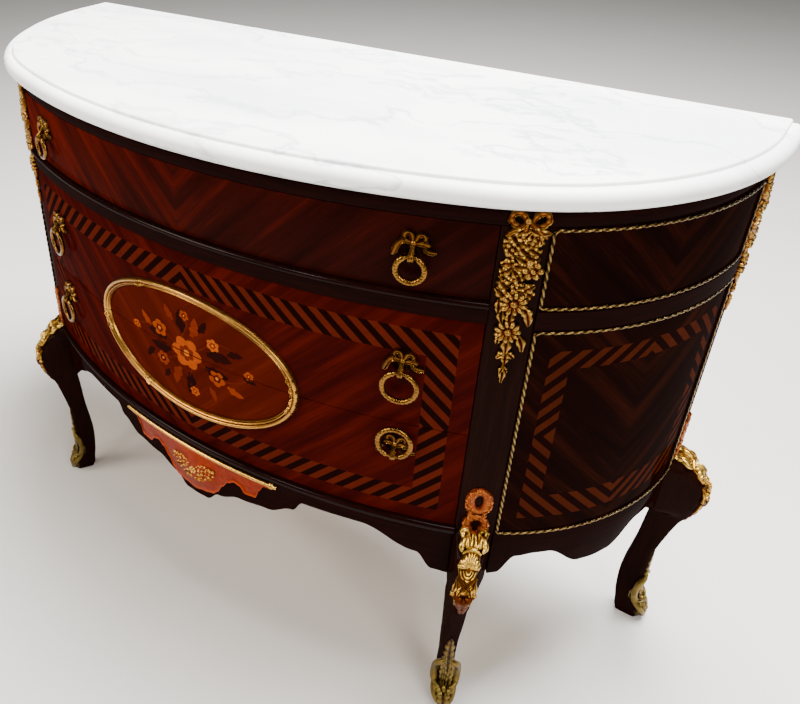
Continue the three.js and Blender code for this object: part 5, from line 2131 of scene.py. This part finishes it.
@dataclass(frozen=True)
class LegMounts:
    """Knee mounts and sabots, bent round the legs. In millimetres, with heights from the floor."""

    # Each ring of the cartouche: height of its middle, half width and half height
    upper_hoop: Triple = (421.5, 11.6, 17)
    lower_hoop: Triple = (379, 11.4, 13.6)
    hoop_steps: int = 12
    hoop_lift: float = 0.4
    # Leaves round the rings: the ring that they stand on and the degrees that each stands at
    curl_rings: tuple[tuple[Triple, tuple[float, ...]], ...] = (
        ((421.5, 12.2, 17.6), (172, 138, 104, 70, 36)), ((379, 12, 13.6), (150, 108, 66, 28)),
    )
    curl_turn: float = 84.0
    # Ribs of the shell: their foot, spread in degrees, stretch, and (reach, lift) of their knots
    shell_ribs: int = 9
    shell_foot: float = 340.0
    shell_spread: float = 80.0
    shell_stretch: Pair = (1.06, 0.86)
    shell_knots: Table = ((2, 4.6), (8, 5.6), (14, 3.4))
    # Arcs below the shell: their middle, radii, spread in degrees, stretch, lift and its fall
    arc_middle: float = 338.0
    arc_radii: Triple = (4, 7.6, 11.4)
    arc_spread: float = 82.0
    arc_steps: int = 6
    arc_stretch: float = 1.1
    arc_lift: float = 3.6
    arc_fall: float = 0.14

    def cartouche(self) -> list[Bit]:
        """Returns the pierced figure of eight above the knee."""

        def hoop(up: float, wide: float, tall: float) -> tuple[Triple, ...]:
            """Returns the closed spine of an oval ring."""
            angles = [math.tau * k / self.hoop_steps for k in range(self.hoop_steps)]
            return tuple(
                (wide * math.sin(angle), up + tall * math.cos(angle), self.hoop_lift)
                for angle in angles
            )

        curls = []
        for (middle, wide, tall), turns in self.curl_rings:
            for turn in turns:
                angle = math.radians(turn)
                for way in (-1, 1):
                    foot = (way * wide * math.sin(angle), middle + tall * math.cos(angle))
                    heading = way * (turn - self.curl_turn)
                    curls.append(leaf(*foot, heading, 13.5, 6.2, -way * 0.3, 4.4, 2, 2))
        return [
            *curls,
            Strip(
                hoop(*self.upper_hoop), ((0, 7), (0.5, 7), (1, 7)), 3.4, Crest.ROUND, 0, 60,
                closed=True,
            ),
            Strip(
                hoop(*self.lower_hoop), ((0, 6.6), (0.38, 6.6), (0.5, 2.6), (0.62, 6.6), (1, 6.6)),
                3.2, Crest.ROUND, 0, 50, closed=True,
            ),
            Blossom(-9, 397, 4.4, 4.6, 0),
            Blossom(9, 397, 4.4, 4.6, 0),
        ]

    def tip(self) -> list[Bit]:
        """Returns the band and the pointed leaf that end the knee mount below."""
        return [
            Strip(
                ((-15, 302, 2), (-7, 298, 3.4), (0, 296, 4), (7, 298, 3.4), (15, 301, 2)),
                ((0, 4), (0.5, 7.6), (1, 4)), 4.6, Crest.FLUTED, 4, 24,
            ),
            Strip(
                ((0, 292, 2), (0, 276, 1.6), (0, 256, 1), (0, 240, 0.5)),
                ((0, 12), (0.3, 11), (0.7, 7), (1, 1.6)), 4.4, Crest.LEAF, 5, 24,
            ),
            Blossom(0, 264, 3.2, 6.4, 0),
        ]

    def knee_leaves(self) -> list[Bit]:
        """Returns the gilt collar, shell and concentric arcs over the knee."""
        bits: list[Bit] = [
            leaf(0, 350, 0, 14, 8.5, 0, 3.6, 0.6, 2, 0.4),
            Strip(
                (
                    (-13.5, 351.5, 2), (-6, 353.6, 3), (0, 354.2, 3.4), (6, 353.6, 3),
                    (13.5, 351.5, 2),
                ),
                ((0, 1.6), (0.5, 2.2), (1, 1.6)), 5.2, Crest.ROUND, 0, 18,
            ),
        ]
        wide, tall = self.shell_stretch
        for turn in spread(self.shell_spread, self.shell_ribs - 1):
            rib = [
                (s * math.sin(turn) * wide, self.shell_foot + s * math.cos(turn) * tall, lift)
                for s, lift in self.shell_knots
            ]
            bits.append(Strip(rib, ((0, 1), (0.75, 2.8), (1, 1.8)), 3.2, Crest.ROUND, 0, 12))
        for radius in self.arc_radii:
            lift, fall = self.arc_lift - radius * self.arc_fall, radius * self.arc_stretch
            arc = [
                (radius * math.sin(turn), self.arc_middle - fall * math.cos(turn), lift)
                for turn in spread(self.arc_spread, self.arc_steps)
            ]
            bits.append(Strip(arc, ((0, 1.2), (0.5, 1.9), (1, 1.2)), 3.4, Crest.ROUND, 0, 18))
        for way in (-1, 1):
            bits += [
                Strip(
                    (
                        (way * 7, 358, 1.6), (way * 9, 365, 3), (way * 14, 369.5, 3.6),
                        (way * 19.5, 367, 3.6), (way * 16.5, 361.5, 4),
                    ),
                    ((0, 3.4), (0.5, 5.4), (0.8, 5), (1, 3)), 5, Crest.ROUND, 3, 18,
                ),
                Strip(
                    (
                        (way * 3, 354, 1), (way * 8, 357.5, 3), (way * 14, 359.5, 3.4),
                        (way * 18.5, 356, 3.4), (way * 15, 353.5, 3),
                    ),
                    ((0, 2.6), (0.5, 4.2), (0.8, 3.6), (1, 2)), 4.6, Crest.ROUND, 3, 18,
                ),
            ]
        return bits

    def crossed_leaves(self) -> list[Bit]:
        """Returns the ground under the knee mount, and the leaves that cross below its shell."""
        ground = ((0, 353, 0.2), (0, 340, 0.2), (0, 325, 0.2), (0, 308, 0.2), (0, 292, 0.2))
        widths = ((0, 10), (0.1, 14), (0.5, 14.5), (0.85, 14.5), (1, 12))
        bits: list[Bit] = [Strip(ground, widths, 2.6, Crest.ROUND, 0, 24)]
        for way in (-1, 1):
            bits += [
                leaf(way * 13, 350, way * 172, 18, 3.6, way * 0.2, 4.2, 1.6, 2),
                leaf(way * 15, 326, way * 188, 24, 3.8, -way * 0.2, 4.2, 2, 2),
                Strip(
                    (
                        (way * 13, 330, 2), (way * 5, 323, 3.6), (-way * 3, 314, 3),
                        (-way * 11, 310, 2),
                    ),
                    ((0, 2.4), (0.4, 5), (1, 2)), 4.6, Crest.FLUTED, 3, 18,
                ),
                leaf(way * 3, 320, way * 140, 15, 5.4, way * 0.3, 5, 3, 2, 0.4),
                leaf(way * 12, 300, way * 195, 26, 3.6, -way * 0.25, 3.8, 1.4, 3),
                Blossom(way * 15.5, 304, 3.8, 6.4, 0),
                Blossom(way * 15.5, 304, 1.6, 7.4, 0),
            ]
        return bits

    def sabot(self) -> list[Bit]:
        """Returns the shoe's base, the leaf up its front, its side scrolls and its toe."""
        bits: list[Bit] = [
            Strip(
                ((0, 1.2, 0.1), (0, 12, 0.2), (0, 30, 0.3), (0, 60, 0.2), (0, 104, 0.2)),
                ((0, 5), (0.12, 15), (0.3, 24), (0.5, 19), (0.8, 9), (1, 3)), 1.1, Crest.ROUND, 0,
                30,
            ),
            leaf(0, 30, 0, 126, 13.5, 0, 4.2, 0.4, 9),
            leaf(-3.5, 34, -4, 84, 7, 0.05, 5.2, 1, 7),
            leaf(4, 30, 4, 72, 7, -0.05, 5.2, 1, 6),
            leaf(11, 34, 3, 66, 8.5, -0.06, 4.8, 2.4, 5),
            leaf(0, 40, 180, 37, 14, 0, 6.8, 1.2, 4),
        ]
        for across, up, size in ((-8, 36, 4.6), (0, 39, 5.4), (8, 36, 4.6)):
            bits.append(Blossom(across, up, size, 6.6, 0, lift=0.6))
        for way in (-1, 1):
            bits += [
                Strip(
                    (
                        (way * 3, 106, 1), (way * 9.5, 98, 3.4), (way * 15.5, 84, 6.6),
                        (way * 17.5, 64, 7.6), (way * 15.5, 48, 6.6), (way * 9, 41, 4),
                    ),
                    ((0, 2), (0.25, 3.4), (0.7, 3.8), (1, 2.6)), 4.6, Crest.ROUND, 0, 30,
                ),
                Strip(
                    (
                        (way * 15, 50, 4), (way * 19, 38, 3.4), (way * 12, 22, 2.2),
                        (way * 3, 5, 1.4),
                    ),
                    ((0, 2.6), (0.35, 4.6), (1, 1.8)), 4.6, Crest.ROUND, 0, 20,
                ),
                leaf(way * 8, 46, way * 172, 34, 5.6, -way * 0.2, 5, 1.4, 3),
                leaf(way * 24, 34, way * 2, 44, 5, -way * 0.3, 3.6, 1.6, 4),
            ]
        return bits

    def build(self) -> None:
        """Makes the mounts of the two right legs and mirrors them for the left."""
        for word, form in (("front", FRONT_LEG), ("rear", REAR_LEG)):
            # Name, bits, share of their width, finish and the node that they stand for
            pieces = (
                ("pierced_cartouche", self.cartouche(), 1.0, COPPER_GILT),
                ("pointed_tip", self.tip(), 0.8, TIP_GILT),
                ("crossed_leaves", self.crossed_leaves(), 0.82, GILT),
                ("knee_acanthus", self.knee_leaves(), 0.82, KNEE_GILT, f"{word}_knee_mount"),
                ("leafy_sabot", self.sabot(), 0.84, SABOT_GILT, f"{word}_sabot"),
            )
            for name, bits, share, finish, *nodes in pieces:
                mount = chased(f"{name}_{word}_right", bits, on_leg(form, share))
                finished_pair(mount, finish, *nodes)


@dataclass(frozen=True)
class FloralInlay:
    """Flowers, leaves and stems let into the oval, cut at the drawers' seam. In millimetres."""

    thickness: float = 0.12
    stretch: Quad = (1.16, 1.12, 1, 1)
    stem_widths: Table = ((0, 1), (0.7, 0.9), (1, 0.5))
    stem_rise: float = 0.6
    stem_tone: float = 0.42
    petal_turn: float = 0.5
    leaves: Table = (
        (-28, -6, 250, 34, 9, 0.3, 0.12), (-34, 8, 290, 32, 9, -0.3, 0.2),
        (30, -10, 110, 34, 10, -0.3, 0.1), (34, 12, 70, 36, 10, 0.3, 0.16),
        (-4, 30, 340, 34, 9, 0.3, 0.14), (10, 30, 30, 30, 8, -0.3, 0.55),
        (4, -30, 170, 34, 9, 0.3, 0.1), (-12, -28, 215, 32, 8, -0.3, 0.5),
        (-62, 18, 300, 22, 6, 0.3, 0.6), (-60, -20, 235, 22, 6, -0.3, 0.14),
        (66, 24, 60, 22, 6, 0.3, 0.16), (64, -26, 125, 24, 6, -0.3, 0.6),
        (-84, 2, 270, 18, 5, 0.2, 0.5), (88, -2, 90, 18, 5, 0.2, 0.12),
        (-20, 44, 310, 22, 6, 0.3, 0.5), (36, -40, 140, 20, 5, 0.3, 0.5),
        (22, 42, 50, 22, 6, -0.3, 0.12), (-34, -42, 200, 18, 5, 0.2, 0.16),
    )
    blossoms: Table = (
        (0, 0, 25, 6, 0.78), (-46, 20, 13, 5, 0.7), (48, -20, 13, 5, 0.66), (44, 30, 10, 6, 0.85),
        (-44, -28, 11, 6, 0.6), (-92, 6, 7, 5, 0.8), (96, 4, 7, 5, 0.72), (0, 58, 8, 5, 0.66),
        (10, -58, 8, 6, 0.8),
    )
    stems: tuple[Table, ...] = (
        ((0, 0), (-22, 10), (-50, 22), (-78, 14), (-100, 6)),
        ((0, 0), (24, -8), (52, -20), (80, -14), (104, 4)),
        ((0, 0), (-6, 22), (4, 44), (0, 62)), ((0, 0), (8, -20), (2, -42), (10, -62)),
        ((0, 0), (22, 14), (48, 34), (70, 34)),
        ((0, 0), (-20, -14), (-46, -30), (-70, -34)),
    )

    def bits(self) -> list[tuple[Bit, float]]:
        """Returns each piece of veneer with its tone."""
        thin = self.thickness
        bits: list[tuple[Bit, float]] = []
        for stem in self.stems:
            strip = Strip(stem, self.stem_widths, thin * self.stem_rise, Crest.ROUND, 0, 18)
            bits.append((strip, self.stem_tone))
        for across, up, turn, length, width, bend, tone in self.leaves:
            bits.append((leaf(across, up, turn, length, width, bend, thin, 0, 3), tone))
        for i, (across, up, radius, petals, tone) in enumerate(self.blossoms):
            # The size, rise, petals, turn and tone of its outer petals, inner petals and eye
            turn = self.petal_turn * i
            layers = (
                (1, 1.4, int(petals), turn, tone),
                (0.52, 2.2, int(petals), turn + self.petal_turn, max(tone - 0.3, 0.1)),
                (0.2, 3, 0, 0.0, 1.0),
            )
            for size, rise, count, angle, shade in layers:
                flower = Blossom(across, up, radius * size, thin * rise, count, angle)
                bits.append((flower, shade))
        return bits

    def build(self) -> None:
        """Makes the inlay and parts it between the two drawers."""
        parts = []
        for i, (bit, tone) in enumerate(self.bits()):
            part = bit.build(f"inlay_{i}")
            parts.append(tagged(part, "tone", [tone] * len(part.data.vertices)))
        whole = moved(joined("inlay_pattern", parts), Matrix.Diagonal(self.stretch))
        for word, way in (("middle", 1), ("lower", -1)):
            cut = partial(
                bpy.ops.mesh.bisect, plane_co=(0, way * CASE.drawer_gap, 0), plane_no=(0, -way, 0),
                clear_outer=True, use_fill=True,
            )
            half = edited(copied(whole, f"oval_flowers_{word}"), cut)
            finished(bent_onto(half, on_case(0, CASE.seam)), INLAY, f"{word}_drawer")
        removed(whole)


def dress_hidden_wood() -> None:
    """Gives the frame's own inner boards their plain wood."""
    boards = ["upper_divider", "lower_divider", "bottom_board", "back_panel"]
    boards += [
        f"{word}_drawer_{kind}"
        for word in ("upper", "middle", "lower")
        for kind in ("box", "bottom")
    ]
    for board in boards:
        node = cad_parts[board]
        node.data.materials.clear()
        node.data.materials.append(DEAL.material)


def main() -> None:
    """Builds the chest in order."""
    logging.basicConfig(level=logging.INFO)
    Studio().build()
    dress_hidden_wood()
    for part in (MarbleTop(), CASE_WOOD, DrawerFronts(), FloralInlay(), OvalFrame(), Pull()):
        part.build()
    for part in (RopeBorder(), CornerDrop(), LegMounts(), ApronMount()):
        part.build()


if __name__ == "__main__":
    main()
